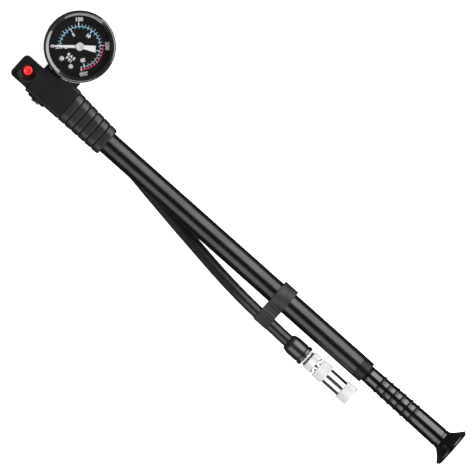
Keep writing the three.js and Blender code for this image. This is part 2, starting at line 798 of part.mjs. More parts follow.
buildHead();
buildCheckValve();
buildBleedValve();
buildCase();
buildFront();
buildDial();
buildStem();
buildMovement();
buildPointer();
buildBarrel();
buildPlunger();
buildHandle();
buildSwivel();
buildHose();
buildFerrule();
buildPinNut();
buildChuckSleeve();
buildClip();

export default pump;
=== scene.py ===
# %% [markdown]
# # Finishing a shock pump
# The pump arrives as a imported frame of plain, faceted solids that already fit and move. In this
# lesson each visible piece is modelled again as a smooth one, in the same place, and every
# surface gets the finish of the real thing: moulded nylon, black anodised tube, bright chrome,
# enamelled gauge, rubber hose. Nothing is moved or resized: the frame says where things go.
# %% Load the frame
import math

import bpy
from mathutils import Matrix, Vector


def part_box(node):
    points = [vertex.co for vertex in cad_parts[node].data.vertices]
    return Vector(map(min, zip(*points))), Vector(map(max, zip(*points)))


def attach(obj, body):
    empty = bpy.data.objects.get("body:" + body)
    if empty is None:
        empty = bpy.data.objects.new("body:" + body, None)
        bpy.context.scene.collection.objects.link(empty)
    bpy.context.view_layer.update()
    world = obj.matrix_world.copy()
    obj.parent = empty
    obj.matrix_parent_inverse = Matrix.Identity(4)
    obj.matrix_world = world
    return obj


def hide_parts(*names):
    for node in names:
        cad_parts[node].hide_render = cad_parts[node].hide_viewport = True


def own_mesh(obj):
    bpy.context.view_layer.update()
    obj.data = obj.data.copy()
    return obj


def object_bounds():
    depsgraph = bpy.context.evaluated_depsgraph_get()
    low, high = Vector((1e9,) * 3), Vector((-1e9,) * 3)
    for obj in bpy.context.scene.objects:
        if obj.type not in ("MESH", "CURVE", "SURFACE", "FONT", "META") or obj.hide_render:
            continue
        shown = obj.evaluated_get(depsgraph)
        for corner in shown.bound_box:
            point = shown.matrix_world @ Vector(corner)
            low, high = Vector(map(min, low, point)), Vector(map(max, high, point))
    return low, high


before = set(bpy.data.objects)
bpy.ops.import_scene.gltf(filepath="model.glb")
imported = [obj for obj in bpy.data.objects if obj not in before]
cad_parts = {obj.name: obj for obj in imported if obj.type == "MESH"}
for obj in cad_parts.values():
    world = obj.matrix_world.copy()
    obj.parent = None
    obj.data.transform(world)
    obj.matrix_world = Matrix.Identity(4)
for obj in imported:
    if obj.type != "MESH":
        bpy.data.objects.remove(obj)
cad_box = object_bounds()
print("CAD box in metres:", [[round(v, 4) for v in corner] for corner in cad_box])

# %% [markdown]
# ## Where things are
# The barrel lies along X. Stations along it are easiest to think of in millimetres from the
# head's closed end, as on a maker's drawing, so one helper turns them into metres in the frame.
# The other centres are read from the boxes of the nodes that sit on them.
# %% Datum points
HEAD_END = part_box("head_housing")[0][0]


def middle_of(node):
    low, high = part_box(node)
    return (Vector(low) + Vector(high)) / 2


BARREL = Vector((HEAD_END, 0, 0))
GAUGE = Vector((middle_of("gauge_bezel").x, middle_of("gauge_bezel").y, 0))
CHUCK = Vector((HEAD_END, middle_of("chuck_sleeve").y, 0))
BUTTON = Vector((middle_of("bleed_button").x, middle_of("bleed_button").y, 0))
SWIVEL = Vector((middle_of("swivel_bolt").x, middle_of("swivel_bolt").y, 0))
print("gauge centre:", [round(v, 4) for v in GAUGE], "swivel:", [round(v, 4) for v in SWIVEL])


def mm(value):
    return value / 1000


def at(x, y, z, origin=BARREL):
    """A place in millimetres from an origin, in the frame."""
    return origin + Vector((mm(x), mm(y), mm(z)))


# %% [markdown]
# ## Steps that come back
# A few strokes recur in every piece: switch mode, select, apply a modifier, fix the place in the
# mesh. Each gets a short name here, so that the cells below show only what differs.
# %% Helpers for modelling
def mode(name):
    bpy.ops.object.mode_set(mode=name)


def deselect():
    if bpy.context.object and bpy.context.object.mode != "OBJECT":
        mode("OBJECT")
    bpy.ops.object.select_all(action="DESELECT")


def activate(piece):
    deselect()
    piece.select_set(True)
    bpy.context.view_layer.objects.active = piece


def edit_all():
    """Edit mode, with everything selected."""
    mode("EDIT")
    bpy.ops.mesh.select_all(action="SELECT")


def settle():
    """Moves the object's place, turn and size into its mesh."""
    bpy.ops.object.transform_apply(location=True, rotation=True, scale=True)


def modify(piece, kind, **values):
    """Adds a modifier and applies it."""
    modifier = piece.modifiers.new(kind.lower(), kind)
    for key, value in values.items():
        setattr(modifier, key, value)
    bpy.ops.object.modifier_apply(modifier=modifier.name)


def choose(piece, kind, wanted):
    """Selects the vertices, edges or faces that pass a test, and stays in edit mode."""
    activate(piece)
    mode("EDIT")
    bpy.ops.mesh.select_mode(type=kind)
    bpy.ops.mesh.select_all(action="DESELECT")
    mode("OBJECT")
    parts = {"VERT": "vertices", "EDGE": "edges", "FACE": "polygons"}[kind]
    for part in getattr(piece.data, parts):
        part.select = wanted(part)
    mode("EDIT")


def count(*pieces):
    print("faces:", {piece.name: len(piece.data.polygons) for piece in pieces})


# %% [markdown]
# ## The camera
# The pump is looked at from straight above, turned so that the barrel runs down to the right. A
# very long lens keeps the view almost without perspective, so pieces at different heights line
# up. A camera that looks straight down needs only a roll about Z.
# %% Camera above the pump
PICTURE_WIDTH = mm(264.5)
PICTURE_MIDDLE, ROLL = (155.7, 8.6), 41.6
LENS, SENSOR = 600, 36
camera_data = bpy.data.cameras.new("camera")
camera_data.lens = LENS
camera_data.sensor_width = SENSOR
camera_data.clip_end = 50
camera = bpy.data.objects.new("camera", camera_data)
bpy.context.collection.objects.link(camera)
distance = PICTURE_WIDTH * LENS / SENSOR
camera.location = (HEAD_END + mm(PICTURE_MIDDLE[0]), mm(PICTURE_MIDDLE[1]), distance)
camera.rotation_euler = (0, 0, math.radians(ROLL))
bpy.context.scene.camera = camera
print("camera height in metres:", round(distance, 2))

# %% [markdown]
# ## The hose
# The hose is a cord: a fixed length of 7.4 mm rubber hose from the swivel on the head's
# back to the ferrule of the chuck. It could be a bevelled mesh, but a curve with a round bevel
# says its route and its thickness plainly. The route leaves the swivel under the grip, climbs
# past the barrel's side and lies straight in the clip.
# %% Hose route
HOSE_ROUTE = [
    (37.6, 1.85, -13.8), (46, 1.25, -13.8), (55, 0.5, -13.8), (73, -1.1, -13.4),
    (91.2, -3.2, -12.4), (101, -4.7, -11.8), (111.3, -6.2, -11), (128, -8.6, -9.2),
    (144.8, -10.8, -6.9), (155.9, -12.25, -5), (167.1, -13.5, -3), (178.2, -14.45, -1.1),
    (189.4, -15.05, -0.1), (203.4, -15.55, 0), (214.5, -15.8, 0), (224, -15.85, 0),
]
HOSE_DIAMETER = mm(7.4)


def make_hose():
    curve = bpy.data.curves.new("hose_line", "CURVE")
    curve.dimensions = "3D"
    curve.bevel_depth = HOSE_DIAMETER / 2
    curve.bevel_resolution = 12
    curve.resolution_u = 14
    curve.use_fill_caps = True
    spline = curve.splines.new("BEZIER")
    spline.bezier_points.add(len(HOSE_ROUTE) - 1)
    for point, place in zip(spline.bezier_points, HOSE_ROUTE):
        point.co = at(*place)
        point.handle_left_type = point.handle_right_type = "AUTO"
    hose = bpy.data.objects.new("hose_rubber", curve)
    bpy.context.collection.objects.link(hose)
    return hose


hose = make_hose()
stretches = zip(HOSE_ROUTE, HOSE_ROUTE[1:])
hose_length = sum((Vector(end) - Vector(start)).length for start, end in stretches)
print("hose length in millimetres:", round(hose_length, 1))

# %% [markdown]
# ## Floor and light
# A studio light table: a pale floor that glows a little, so that shadows stay faint, and two
# soft boxes beside the pump with a dark gap straight overhead. On a black tube that gives two
# clean highlights with a dark line between them. Both boxes reach from the head towards the
# palm end and beyond: surfaces that face the palm end are lit, and those that face away stay
# dark. A third light overhead only fills the matt paints; glossy surfaces do not see it, nor
# the floor, so that the tubes keep dark edges.
# %% Floor
deselect()
FLOOR_GAP = mm(0.3)
floor_height = cad_box[0][2] - FLOOR_GAP
bpy.ops.mesh.primitive_plane_add(size=8, location=(camera.location.x, 0, floor_height))
floor = bpy.context.object
floor.name = "paper_floor"
floor.visible_glossy = False
paper = bpy.data.materials.new("pale_paper")
paper.use_nodes = True
PAPER = {
    "Base Color": (0.9, 0.9, 0.9, 1),
    "Roughness": 1,
    "Specular IOR Level": 0,
    "Emission Color": (1, 1, 1, 1),
    "Emission Strength": 0.8,
}
for socket, value in PAPER.items():
    paper.node_tree.nodes["Principled BSDF"].inputs[socket].default_value = value
floor.data.materials.append(paper)
print("floor at", round(floor_height, 4))


# %% Soft boxes
LIGHT_LENGTH, LIGHT_REACH = 2.0, 0.9
LIGHT_START = HEAD_END - mm(40)
LIGHT_MIDDLE = LIGHT_START + LIGHT_LENGTH / 2


def soft_box(name, nearest, furthest, power):
    """A long light beside the pump, between two angles from straight above, in degrees."""
    lean, half = math.radians((nearest + furthest) / 2), math.radians(abs(furthest - nearest) / 2)
    data = bpy.data.lights.new(name, "AREA")
    data.shape = "RECTANGLE"
    data.size = LIGHT_LENGTH
    data.size_y = 2 * LIGHT_REACH * math.tan(half)
    data.energy = power
    light = bpy.data.objects.new(name, data)
    bpy.context.collection.objects.link(light)
    light.location = (LIGHT_MIDDLE, math.sin(lean) * LIGHT_REACH, math.cos(lean) * LIGHT_REACH)
    light.rotation_euler = (-lean, 0, 0)
    light.visible_camera = False
    return light


soft_box("soft_box_gauge_side", 22, 84, 21)
soft_box("soft_box_hose_side", -28, -74, 8.5)
fill = soft_box("fill_overhead", -50, 50, 34)
fill.visible_glossy = False
world = bpy.data.worlds.new("room")
world.use_nodes = True
world.node_tree.nodes["Background"].inputs["Color"].default_value = (1, 1, 1, 1)
world.node_tree.nodes["Background"].inputs["Strength"].default_value = 0.08
bpy.context.scene.world = world
bpy.context.scene.view_settings.view_transform = "Standard"

# %% [markdown]
# ## Finishes
# Every finish is a small node tree on one Principled shader. Uniform numbers are set on the
# shader's own sockets. What varies over the surface - grain, turning marks, rubbed patches - is a
# noise or wave on Object coordinates, so that it stays put when the piece moves.
# %% A helper for finishes
def finish(name, color, roughness, metallic=0.0, **sockets):
    """A new material; returns it with its node tree and shader."""
    material = bpy.data.materials.new(name)
    material.use_nodes = True
    tree = material.node_tree
    shader = tree.nodes["Principled BSDF"]
    shader.inputs["Base Color"].default_value = (*color, 1)
    shader.inputs["Roughness"].default_value = roughness
    shader.inputs["Metallic"].default_value = metallic
    for socket, value in sockets.items():
        shader.inputs[socket.replace("_", " ")].default_value = value
    return material, tree, shader


def add_node(tree, kind, **values):
    """A node of one kind with its properties or input sockets set."""
    node = tree.nodes.new(kind)
    for key, value in values.items():
        if key in node.inputs:
            node.inputs[key].default_value = value
        else:
            setattr(node, key, value)
    return node


def stretched_coordinates(tree, stretch=(1, 1, 1)):
    coordinates = add_node(tree, "ShaderNodeTexCoord")
    mapping = add_node(tree, "ShaderNodeMapping", Scale=stretch)
    tree.links.new(coordinates.outputs["Object"], mapping.inputs["Vector"])
    return mapping.outputs["Vector"]


def noise(tree, scale, detail=4, stretch=(1, 1, 1)):
    node = add_node(tree, "ShaderNodeTexNoise", Scale=scale, Detail=detail, Roughness=0.55)
    tree.links.new(stretched_coordinates(tree, stretch), node.inputs["Vector"])
    return node.outputs["Fac"]


NOISE_LOW, NOISE_HIGH = 0.3, 0.7


def between(tree, factor, low, high, start=NOISE_LOW, end=NOISE_HIGH):
    """A factor spread over a range of values, for roughness and the like."""
    node = add_node(tree, "ShaderNodeMapRange")
    for socket, value in zip(("From Min", "From Max", "To Min", "To Max"), (start, end, low, high)):
        node.inputs[socket].default_value = value
    tree.links.new(factor, node.inputs["Value"])
    return node.outputs["Result"]


def shades(tree, factor, dark, light):
    """A factor turned into a colour between two shades."""
    ramp = add_node(tree, "ShaderNodeValToRGB")
    stops = ((NOISE_LOW, dark), (NOISE_HIGH, light))
    for element, (position, color) in zip(ramp.color_ramp.elements, stops):
        element.position = position
        element.color = (*color, 1)
    tree.links.new(factor, ramp.inputs["Fac"])
    return ramp.outputs["Color"]


def vary(tree, shader, socket, value):
    tree.links.new(value, shader.inputs[socket])


def tint(tree, shader, factor, color, low, high):
    """The base colour, varied between two shares of one colour."""
    dark, light = (tuple(v * share for v in color) for share in (low, high))
    vary(tree, shader, "Base Color", shades(tree, factor, dark, light))


def relief(tree, shader, height, strength, depth, base=None):
    """Bump from a height, on top of an earlier bump if there is one."""
    bump = add_node(tree, "ShaderNodeBump", Strength=strength, Distance=depth)
    tree.links.new(height, bump.inputs["Height"])
    if base is not None:
        tree.links.new(base, bump.inputs["Normal"])
    tree.links.new(bump.outputs["Normal"], shader.inputs["Normal"])
    return bump.outputs["Normal"]


# %% [markdown]
# ### Moulded nylon
# The head and the clip are glass-filled nylon from a spark-eroded mould: nearly black, with a
# fine even grain and faint duller and shinier patches. A cell texture gives the grain. The grip
# is rubbed a little shinier by hands, and the clip is a softer, greyer grade.
# %% Moulded nylon
def moulded_nylon(name, shade, shine):
    material, tree, shader = finish(name, (shade,) * 3, 0.44, Specular_IOR_Level=shine)
    patches = noise(tree, 90, 3)
    tint(tree, shader, patches, (shade,) * 3, 0.75, 1.3)
    vary(tree, shader, "Roughness", between(tree, patches, 0.4, 0.48))
    cells = add_node(tree, "ShaderNodeTexVoronoi", Scale=3200)
    tree.links.new(stretched_coordinates(tree), cells.inputs["Vector"])
    fine = relief(tree, shader, cells.outputs["Distance"], 0.35, mm(0.03))
    relief(tree, shader, noise(tree, 700, 3), 0.15, mm(0.08), fine)
    return material


NYLON = moulded_nylon("moulded_nylon", 0.0025, 0.42)
GRIP_NYLON = moulded_nylon("grip_nylon", 0.004, 0.8)
CLIP_NYLON = moulded_nylon("soft_nylon", 0.012, 0.4)
print("made", [m.name for m in (NYLON, GRIP_NYLON, CLIP_NYLON)])

# %% [markdown]
# ### Anodised tube
# The barrel and the handle are drawn aluminium tube, brushed, then anodised black. Drawing and
# brushing leave hair lines along the tube, so the noise is stretched along X. The dark dye turns
# the metal's reflection down without making it blue or brown. Knurled and matt pieces take the
# same dye, but scatter light more.
# %% Anodised tube
def anodised(name, reflection, roughness):
    material, tree, shader = finish(name, (reflection,) * 3, roughness, metallic=1)
    hair_lines = noise(tree, 1500, 3, stretch=(0.02, 1, 1))
    tint(tree, shader, noise(tree, 60, 4), (reflection,) * 3, 0.85, 1.15)
    vary(tree, shader, "Roughness", between(tree, hair_lines, roughness * 0.85, roughness * 1.2))
    relief(tree, shader, hair_lines, 0.12, mm(0.02))
    return material


SATIN_TUBE = anodised("satin_black_anodising", 0.058, 0.25)
BRIGHT_TUBE = anodised("bright_black_anodising", 0.09, 0.15)
KNURLED_TUBE = anodised("knurled_black_anodising", 0.04, 0.34)
COLLAR_TUBE = anodised("matt_black_anodising", 0.012, 0.42)
print("made", [m.name for m in (SATIN_TUBE, BRIGHT_TUBE, KNURLED_TUBE, COLLAR_TUBE)])

# %% [markdown]
# ### Bright metals
# Chrome plate mirrors its surroundings and shows only hair scratches and a faint haze. Turned
# steel and brass are duller, with fine rings round their axis, which a wave texture in rings
# would give; noise stretched across the axis is calmer and never beats with the picture's grid.
# Knurled chrome is too finely cut to mirror anything: a rougher and less metallic mix gives the
# same pale sheen. The pointer's hub and the dial's screws are such a mix too.
# %% Chrome, steel and brass
def metal(name, color, roughness, mark_scale, mark_strength, stretch=(1, 1, 1), metallic=1):
    material, tree, shader = finish(name, color, roughness, metallic)
    marks = noise(tree, mark_scale, 4, stretch)
    haze = noise(tree, 120, 3)
    vary(tree, shader, "Roughness", between(tree, haze, roughness * 0.7, roughness * 1.5))
    tint(tree, shader, haze, color, 0.93, 1)
    relief(tree, shader, marks, mark_strength, mm(0.02))
    return material


CHROME = metal("bright_chrome", (0.86, 0.87, 0.89), 0.09, 500, 0.03)
STEEL = metal("turned_steel", (0.56, 0.57, 0.59), 0.28, 1400, 0.15, (8, 0.2, 0.2))
ALUMINIUM = metal("matt_aluminium", (0.75, 0.75, 0.76), 0.45, 900, 0.1, metallic=0.35)
SATIN_CHROME = metal("satin_chrome", (0.5, 0.5, 0.51), 0.48, 900, 0.1, metallic=0.4)
BRASS = metal("turned_brass", (0.63, 0.45, 0.17), 0.3, 1400, 0.15, (8, 0.2, 0.2))
print("made", [m.name for m in (CHROME, STEEL, ALUMINIUM, SATIN_CHROME, BRASS)])


# %% [markdown]
# ### Enamel, rubber and plastics
# The gauge case and the ferrule are gloss black: a dark base under a clear coat, with the slight
# orange peel of sprayed enamel. Rubber is matt with a fine tooth. The button is a clear red
# plastic with a polished top. Nylon inside the barrel is off-white.
# %% Gloss enamel and the red button
def enamel(name, coat):
    material, tree, shader = finish(
        name, (0.005, 0.005, 0.006), 0.3, Coat_Weight=1.0, Coat_Roughness=0.05, Coat_IOR=coat
    )
    vary(tree, shader, "Roughness", between(tree, noise(tree, 80), 0.22, 0.4))
    relief(tree, shader, noise(tree, 260, 2), 0.06, mm(0.06))
    return material


def button_plastic():
    material, tree, shader = finish(
        "red_button_plastic", (0.52, 0.005, 0.009), 0.3, Coat_Weight=0.35, Coat_Roughness=0.08
    )
    cloud = noise(tree, 300, 2)
    vary(tree, shader, "Base Color", shades(tree, cloud, (0.46, 0.003, 0.006), (0.58, 0.006, 0.010)))
    relief(tree, shader, noise(tree, 1600, 2), 0.04, mm(0.02))
    return material


ENAMEL = enamel("gloss_black_enamel", 1.5)
BEZEL_ENAMEL = enamel("polished_black_enamel", 2.0)
RED = button_plastic()


# %% Rubber and white nylon
def rubber(name, color, roughness, tooth):
    material, tree, shader = finish(name, color, roughness, Sheen_Weight=0.05)
    dust = noise(tree, 140, 4)
    tint(tree, shader, dust, color, 1, 1.5)
    vary(tree, shader, "Roughness", between(tree, dust, roughness * 0.9, roughness * 1.1))
    relief(tree, shader, noise(tree, 2600, 3), tooth, mm(0.03))
    return material


SEAL_RUBBER = rubber("seal_rubber", (0.010, 0.010, 0.010), 0.62, 0.25)
HOSE_RUBBER = rubber("hose_rubber_jacket", (0.005, 0.005, 0.005), 0.26, 0.08)


def plain_plastic(name, color, roughness):
    material, tree, shader = finish(name, color, roughness)
    tint(tree, shader, noise(tree, 200, 3), color, 0.92, 1)
    relief(tree, shader, noise(tree, 1200, 2), 0.1, mm(0.03))
    return material


WHITE_NYLON = plain_plastic("bearing_nylon", (0.72, 0.70, 0.64), 0.45)
print("made", [m.name for m in (ENAMEL, BEZEL_ENAMEL, RED, SEAL_RUBBER, HOSE_RUBBER, WHITE_NYLON)])

# %% [markdown]
# ## Turned pieces
# Most of a pump comes off a lathe. Spinning a profile is one way, but a stack of extruded rings
# is easier to read: start with a circle, extrude its edge to the next station along the axis and
# resize it there, and close both ends. Corners of the profile are softened first, since no real
# edge is perfectly sharp, and the small arcs catch the light.
# %% Soften a profile
def soften(outline, radius, ring=False, steps=3):
    """The same outline with each sharp corner replaced by a short arc."""
    points = [Vector(p) for p in outline]
    softened = []
    for index, corner in enumerate(points):
        before = points[index - 1] - corner
        after = points[(index + 1) % len(points)] - corner
        at_end = not ring and index in (0, len(points) - 1)
        if at_end or before.angle(after) > math.radians(168):
            softened.append(corner)
            continue
        reach = min(radius, before.length * 0.45, after.length * 0.45)
        start = corner + before.normalized() * reach
        end = corner + after.normalized() * reach
        for step in range(steps + 1):
            t = step / steps
            softened.append((1 - t) ** 2 * start + 2 * t * (1 - t) * corner + t * t * end)
    return softened


# %% Turn a piece
TURN_TO = {"X": (0, math.pi / 2, 0), "Y": (-math.pi / 2, 0, 0), "Z": (0, 0, 0)}
ALONG = {"X": Vector((1, 0, 0)), "Y": Vector((0, 1, 0)), "Z": Vector((0, 0, 1))}
PIN_HOLE = 0.04


def extrude_ring(axis, shift, scale, centre):
    """The selected ring of edges, extruded by a shift and resized about a centre."""
    bpy.ops.mesh.extrude_region_move(TRANSFORM_OT_translate={"value": shift})
    factors = [1 if letter == axis else scale for letter in "XYZ"]
    bpy.ops.transform.resize(value=factors, center_override=centre)


def close_ends(ring):
    bpy.ops.mesh.select_all(action="DESELECT")
    bpy.ops.mesh.select_mode(type="EDGE")
    bpy.ops.mesh.select_non_manifold()
    if ring:
        bpy.ops.mesh.bridge_edge_loops()
    else:
        bpy.ops.mesh.fill_holes(sides=0)
    bpy.ops.mesh.select_all(action="SELECT")
    bpy.ops.mesh.normals_make_consistent(inside=False)
    mode("OBJECT")


def smooth(piece, angle=38):
    """Smooth shading with crisp flats: large faces decide the normals at their corners."""
    activate(piece)
    bpy.ops.mesh.customdata_custom_splitnormals_clear()
    bpy.ops.object.shade_smooth_by_angle(angle=math.radians(angle))
    modify(piece, "WEIGHTED_NORMAL", keep_sharp=True)


def turned(name, axis, origin, outline, sides=96, ring=False, soft=0.2):
    """A turned piece; the outline is (station, radius) in millimetres, from the origin."""
    profile = soften([(s, max(r, PIN_HOLE)) for s, r in outline], soft, ring)
    along = ALONG[axis]
    station, radius = profile[0]
    deselect()
    start = origin + along * mm(station)
    bpy.ops.mesh.primitive_circle_add(
        vertices=sides, radius=mm(radius), location=start, rotation=TURN_TO[axis]
    )
    piece = bpy.context.object
    piece.name = name
    edit_all()
    for next_station, next_radius in profile[1:]:
        centre = origin + along * mm(next_station)
        extrude_ring(axis, along * mm(next_station - station), next_radius / radius, centre)
        station, radius = next_station, next_radius
    close_ends(ring)
    settle()
    smooth(piece)
    return piece


# %% Give a piece its finish and its body
def dress(piece, material, slot, body, *nodes):
    """The piece's material, the slot it stands for (not used), the body it rides on, the nodes it
    replaces.
    """
    piece.data.materials.clear()
    piece.data.materials.append(material)
    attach(piece, body)
    if nodes:
        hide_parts(*nodes)
    return piece


def sleeve(start, end, inner, outer):
    """The outline of a plain tube."""
    return [(start, inner), (start, outer), (end, outer), (end, inner)]


def bar(start, end, radius):
    """The outline of a plain round bar, which also serves as a drill."""
    return sleeve(start, end, 0, radius)


# %% [markdown]
# ## Barrel and end cap
# The barrel is plain drawn tube. Its end cap is the same diameter, screwed in, and knurled
# lengthwise for grip. The knurl is cut by pulling half of the vertex columns inwards: with six
# columns to a tooth its top is flat and its sides slope, with two it is a plain fine vee.
# %% Barrel tube
barrel = turned("barrel", "X", BARREL, sleeve(32, 254.35, 5.4, 6.5), 160, ring=True, soft=0.08)
dress(barrel, SATIN_TUBE, "anodised", "pump_body", "barrel_tube")
count(barrel)


# %% Knurl
CRISP = 18


def knurl(piece, origin, band, outer, depth, sides, tooth=2):
    """Cuts teeth along X in a band: of each tooth's columns of vertices, half go inwards."""

    def in_groove(vertex):
        station, y, z = (vertex.co - origin) * 1000
        column = round(math.atan2(z, y) * sides / math.tau)
        in_band = band[0] <= station <= band[1] and math.hypot(y, z) > outer - 0.3
        return in_band and column % tooth >= (tooth + 1) // 2

    choose(piece, "VERT", in_groove)
    scale = 1 - depth / outer
    bpy.ops.transform.resize(value=(1, scale, scale), center_override=origin)
    mode("OBJECT")
    smooth(piece, CRISP)


CAP_SIDES = 252
cap_outline = [
    (247.8, 3.5), (247.8, 5.1), (254.4, 5.1), (254.4, 6.4), (254.55, 6.53), (259.9, 6.53),
    (260.3, 6.13), (260.3, 5.2), (257.4, 5.2), (257.4, 3.5),
]
end_cap = turned("barrel_cap", "X", BARREL, cap_outline, CAP_SIDES, ring=True, soft=0.1)
knurl(end_cap, BARREL, (254.6, 260), 6.53, 0.3, CAP_SIDES, tooth=6)
dress(end_cap, KNURLED_TUBE, "anodised", "pump_body", "barrel_end_cap")
count(end_cap)

# %% [markdown]
# ## Plunger and handle
# The rod is ground steel and shows when the handle is drawn out. The handle is a tapering tube
# with six raised rings, and its end opens like a trumpet into a disc that fills the palm. Each
# ring ramps up on the head's side, drops steeply on the palm's side and has a hair groove beyond.
# The flare follows a power curve: it leaves the neck gently and runs straight to the rim.
# %% Rod and its seals
rod_outline = [(43.2, 0), (43.2, 1.8), (50.4, 1.8), (50.4, 3.2), (312.2, 3.2), (312.2, 0)]
rod = turned("plunger_rod", "X", BARREL, rod_outline, 64)
dress(rod, STEEL, "steel", "plunger", "piston_rod")
wiper_outline = [(257.7, 3.5), (257.7, 4.9), (260.1, 4.9), (260.1, 4.2), (259.7, 3.5)]
wiper = turned("wiper", "X", BARREL, wiper_outline, 64, ring=True)
dress(wiper, SEAL_RUBBER, "rubber", "pump_body", "rod_wiper")
collar = turned("collar", "X", BARREL, sleeve(260.4, 262.1, 3.5, 5), 96, ring=True, soft=0.1)
dress(collar, COLLAR_TUBE, "anodised", "plunger", "handle_collar")
count(rod, wiper, collar)

# %% Handle tube
HANDLE_START, HANDLE_END = 262.2, 316.1
NEAR_RADIUS, FAR_RADIUS, RING_RISE = 5.05, 5.8, 0.5
RING_STATIONS = (270.3, 275.3, 280.1, 284.8, 289.8, 294.6)


def handle_radius(station):
    share = (station - HANDLE_START) / (HANDLE_END - HANDLE_START)
    return NEAR_RADIUS + share * (FAR_RADIUS - NEAR_RADIUS)


def handle_outline():
    outline = [(HANDLE_START, 3.5), (HANDLE_START, NEAR_RADIUS)]
    for station in RING_STATIONS:
        radius = handle_radius(station)
        outline += [(station - 1.1, radius), (station - 0.15, radius + RING_RISE)]
        outline += [(station + 0.1, radius + RING_RISE), (station + 0.55, radius)]
        outline += [(station + 0.85, radius), (station + 0.95, radius - 0.15)]
        outline += [(station + 1.15, radius - 0.15), (station + 1.25, radius)]
    outline += [(314.5, FAR_RADIUS), (314.7, 5.45), (315.1, 5.45), (315.3, 5.9)]
    return outline + [(316.35, 5.9), (316.35, 3.5)]


handle = turned("handle", "X", BARREL, handle_outline(), 128, ring=True, soft=0.08)
dress(handle, BRIGHT_TUBE, "anodised", "plunger", "handle_tube")
count(handle)

# %% Palm flare and disc
FLARE_START, FLARE_LENGTH, FLARE_STEPS = 316.4, 6.3, 14
NECK_RADIUS, FLARE_RISE, FLARE_POWER = 5.8, 6.3, 1.3


def flare_outline():
    outline = [(312.5, 0), (312.5, 3.2), (FLARE_START, 3.2), (FLARE_START, NECK_RADIUS)]
    for step in range(1, FLARE_STEPS + 1):
        share = step / FLARE_STEPS
        radius = NECK_RADIUS + FLARE_RISE * share**FLARE_POWER
        outline.append((FLARE_START + FLARE_LENGTH * share, radius))
    return outline + [(323.1, 12.15), (323.6, 11.8), (323.6, 2.8), (320.6, 2.8), (320.6, 0)]


flare = turned("palm_trumpet", "X", BARREL, flare_outline(), 160, soft=0.3)
dress(flare, BRIGHT_TUBE, "anodised", "plunger", "palm_flare")
disc_outline = [
    (321, 0), (321, 2.5), (323.8, 2.5), (323.8, 11.5), (324.2, 11.5), (324.6, 10.7), (324.6, 0),
]
disc = turned("palm_cap", "X", BARREL, disc_outline, 160, soft=0.25)
dress(disc, ENAMEL, "gloss", "plunger", "palm_disc")
count(flare, disc)

# %% [markdown]
# ## Valve chuck
# The chuck is chromed brass: a thin collar behind the ferrule, a black ring, a slotted and
# knurled nut, and a sleeve with a knurled band at each end. The hollow at its mouth takes a
# valve, so the sleeve is modelled with its bore and a rubber gasket at the bottom of it. Bands
# of faces can have a finish of their own: they are selected by their place and given a second
# material.
# %% Ferrule, core and ring
ferrule_outline = [
    (215.6, 3.85), (215.6, 4.3), (216.6, 4.9), (218, 5.35), (219.6, 5.55), (225.8, 5.55),
    (226, 5.25), (226.5, 5.25), (226.7, 5.85), (228.6, 5.85), (229, 5.5), (229, 2.9),
    (224.3, 2.9), (224.3, 3.85),
]
ferrule = turned("ferrule", "X", CHUCK, ferrule_outline, 128, ring=True)
dress(ferrule, ENAMEL, "gloss", "hose_arm", "hose_ferrule")
core_outline = [
    (224.6, 1.5), (224.6, 2.6), (229.3, 2.6), (229.3, 4.5), (230.1, 4.5), (230.1, 2.6),
    (247.8, 2.6), (247.8, 3.6), (249.5, 3.6), (249.5, 1.5),
]
core = turned("chuck_stem", "X", CHUCK, core_outline, 96, ring=True, soft=0.1)
dress(core, CHROME, "chrome", "hose_arm", "chuck_core")
count(ferrule, core)


# %% Rubber ring
SQUEEZE = 0.92


def o_ring(name, centre, radius, section):
    """A torus is the true shape of an O-ring; squeezed between two flanges it is a bit thinner."""
    deselect()
    bpy.ops.mesh.primitive_torus_add(
        location=centre,
        rotation=TURN_TO["X"],
        major_radius=mm(radius),
        minor_radius=mm(section),
        major_segments=72,
        minor_segments=20,
    )
    ring = bpy.context.object
    ring.name = name
    edit_all()
    bpy.ops.transform.resize(value=(SQUEEZE, 1, 1), center_override=centre)
    mode("OBJECT")
    settle()
    bpy.ops.object.shade_smooth()
    return ring


neck_ring = o_ring("neck_ring", at(230.6, 0, 0, CHUCK), 4.25, 0.45)
dress(neck_ring, SEAL_RUBBER, "rubber", "hose_arm", "neck_o_ring")
count(neck_ring)

# %% Pin nut
KNURL_DEPTH = 0.14
NUT_SIDES = 144
nut_outline = [
    (231.1, 2.9), (231.1, 5.1), (231.5, 5.45), (235.9, 5.45), (236.1, 5.2), (236.8, 5.2),
    (236.8, 2.9),
]
nut = turned("slotted_nut", "X", CHUCK, nut_outline, NUT_SIDES, ring=True, soft=0.12)
knurl(nut, CHUCK, (231.4, 235.95), 5.45, KNURL_DEPTH, NUT_SIDES)


# %% Cutting and banding
def finish_band(piece, material, band, inner):
    """Gives a band of the chuck's outer faces a finish of its own."""
    activate(piece)
    piece.data.materials.append(material)
    piece.active_material_index = len(piece.data.materials) - 1

    def in_band(face):
        station, y, z = (face.center - CHUCK) * 1000
        return band[0] <= station <= band[1] and math.hypot(y, z) > inner

    choose(piece, "FACE", in_band)
    bpy.ops.object.material_slot_assign()
    bpy.ops.mesh.select_mode(type="VERT")
    mode("OBJECT")


def cut(piece, tool, operation="DIFFERENCE"):
    """Cuts a piece with a tool, or joins the tool to it, and removes the tool."""
    activate(piece)
    modify(piece, "BOOLEAN", operation=operation, solver="EXACT", object=tool)
    bpy.data.objects.remove(tool)
    return piece


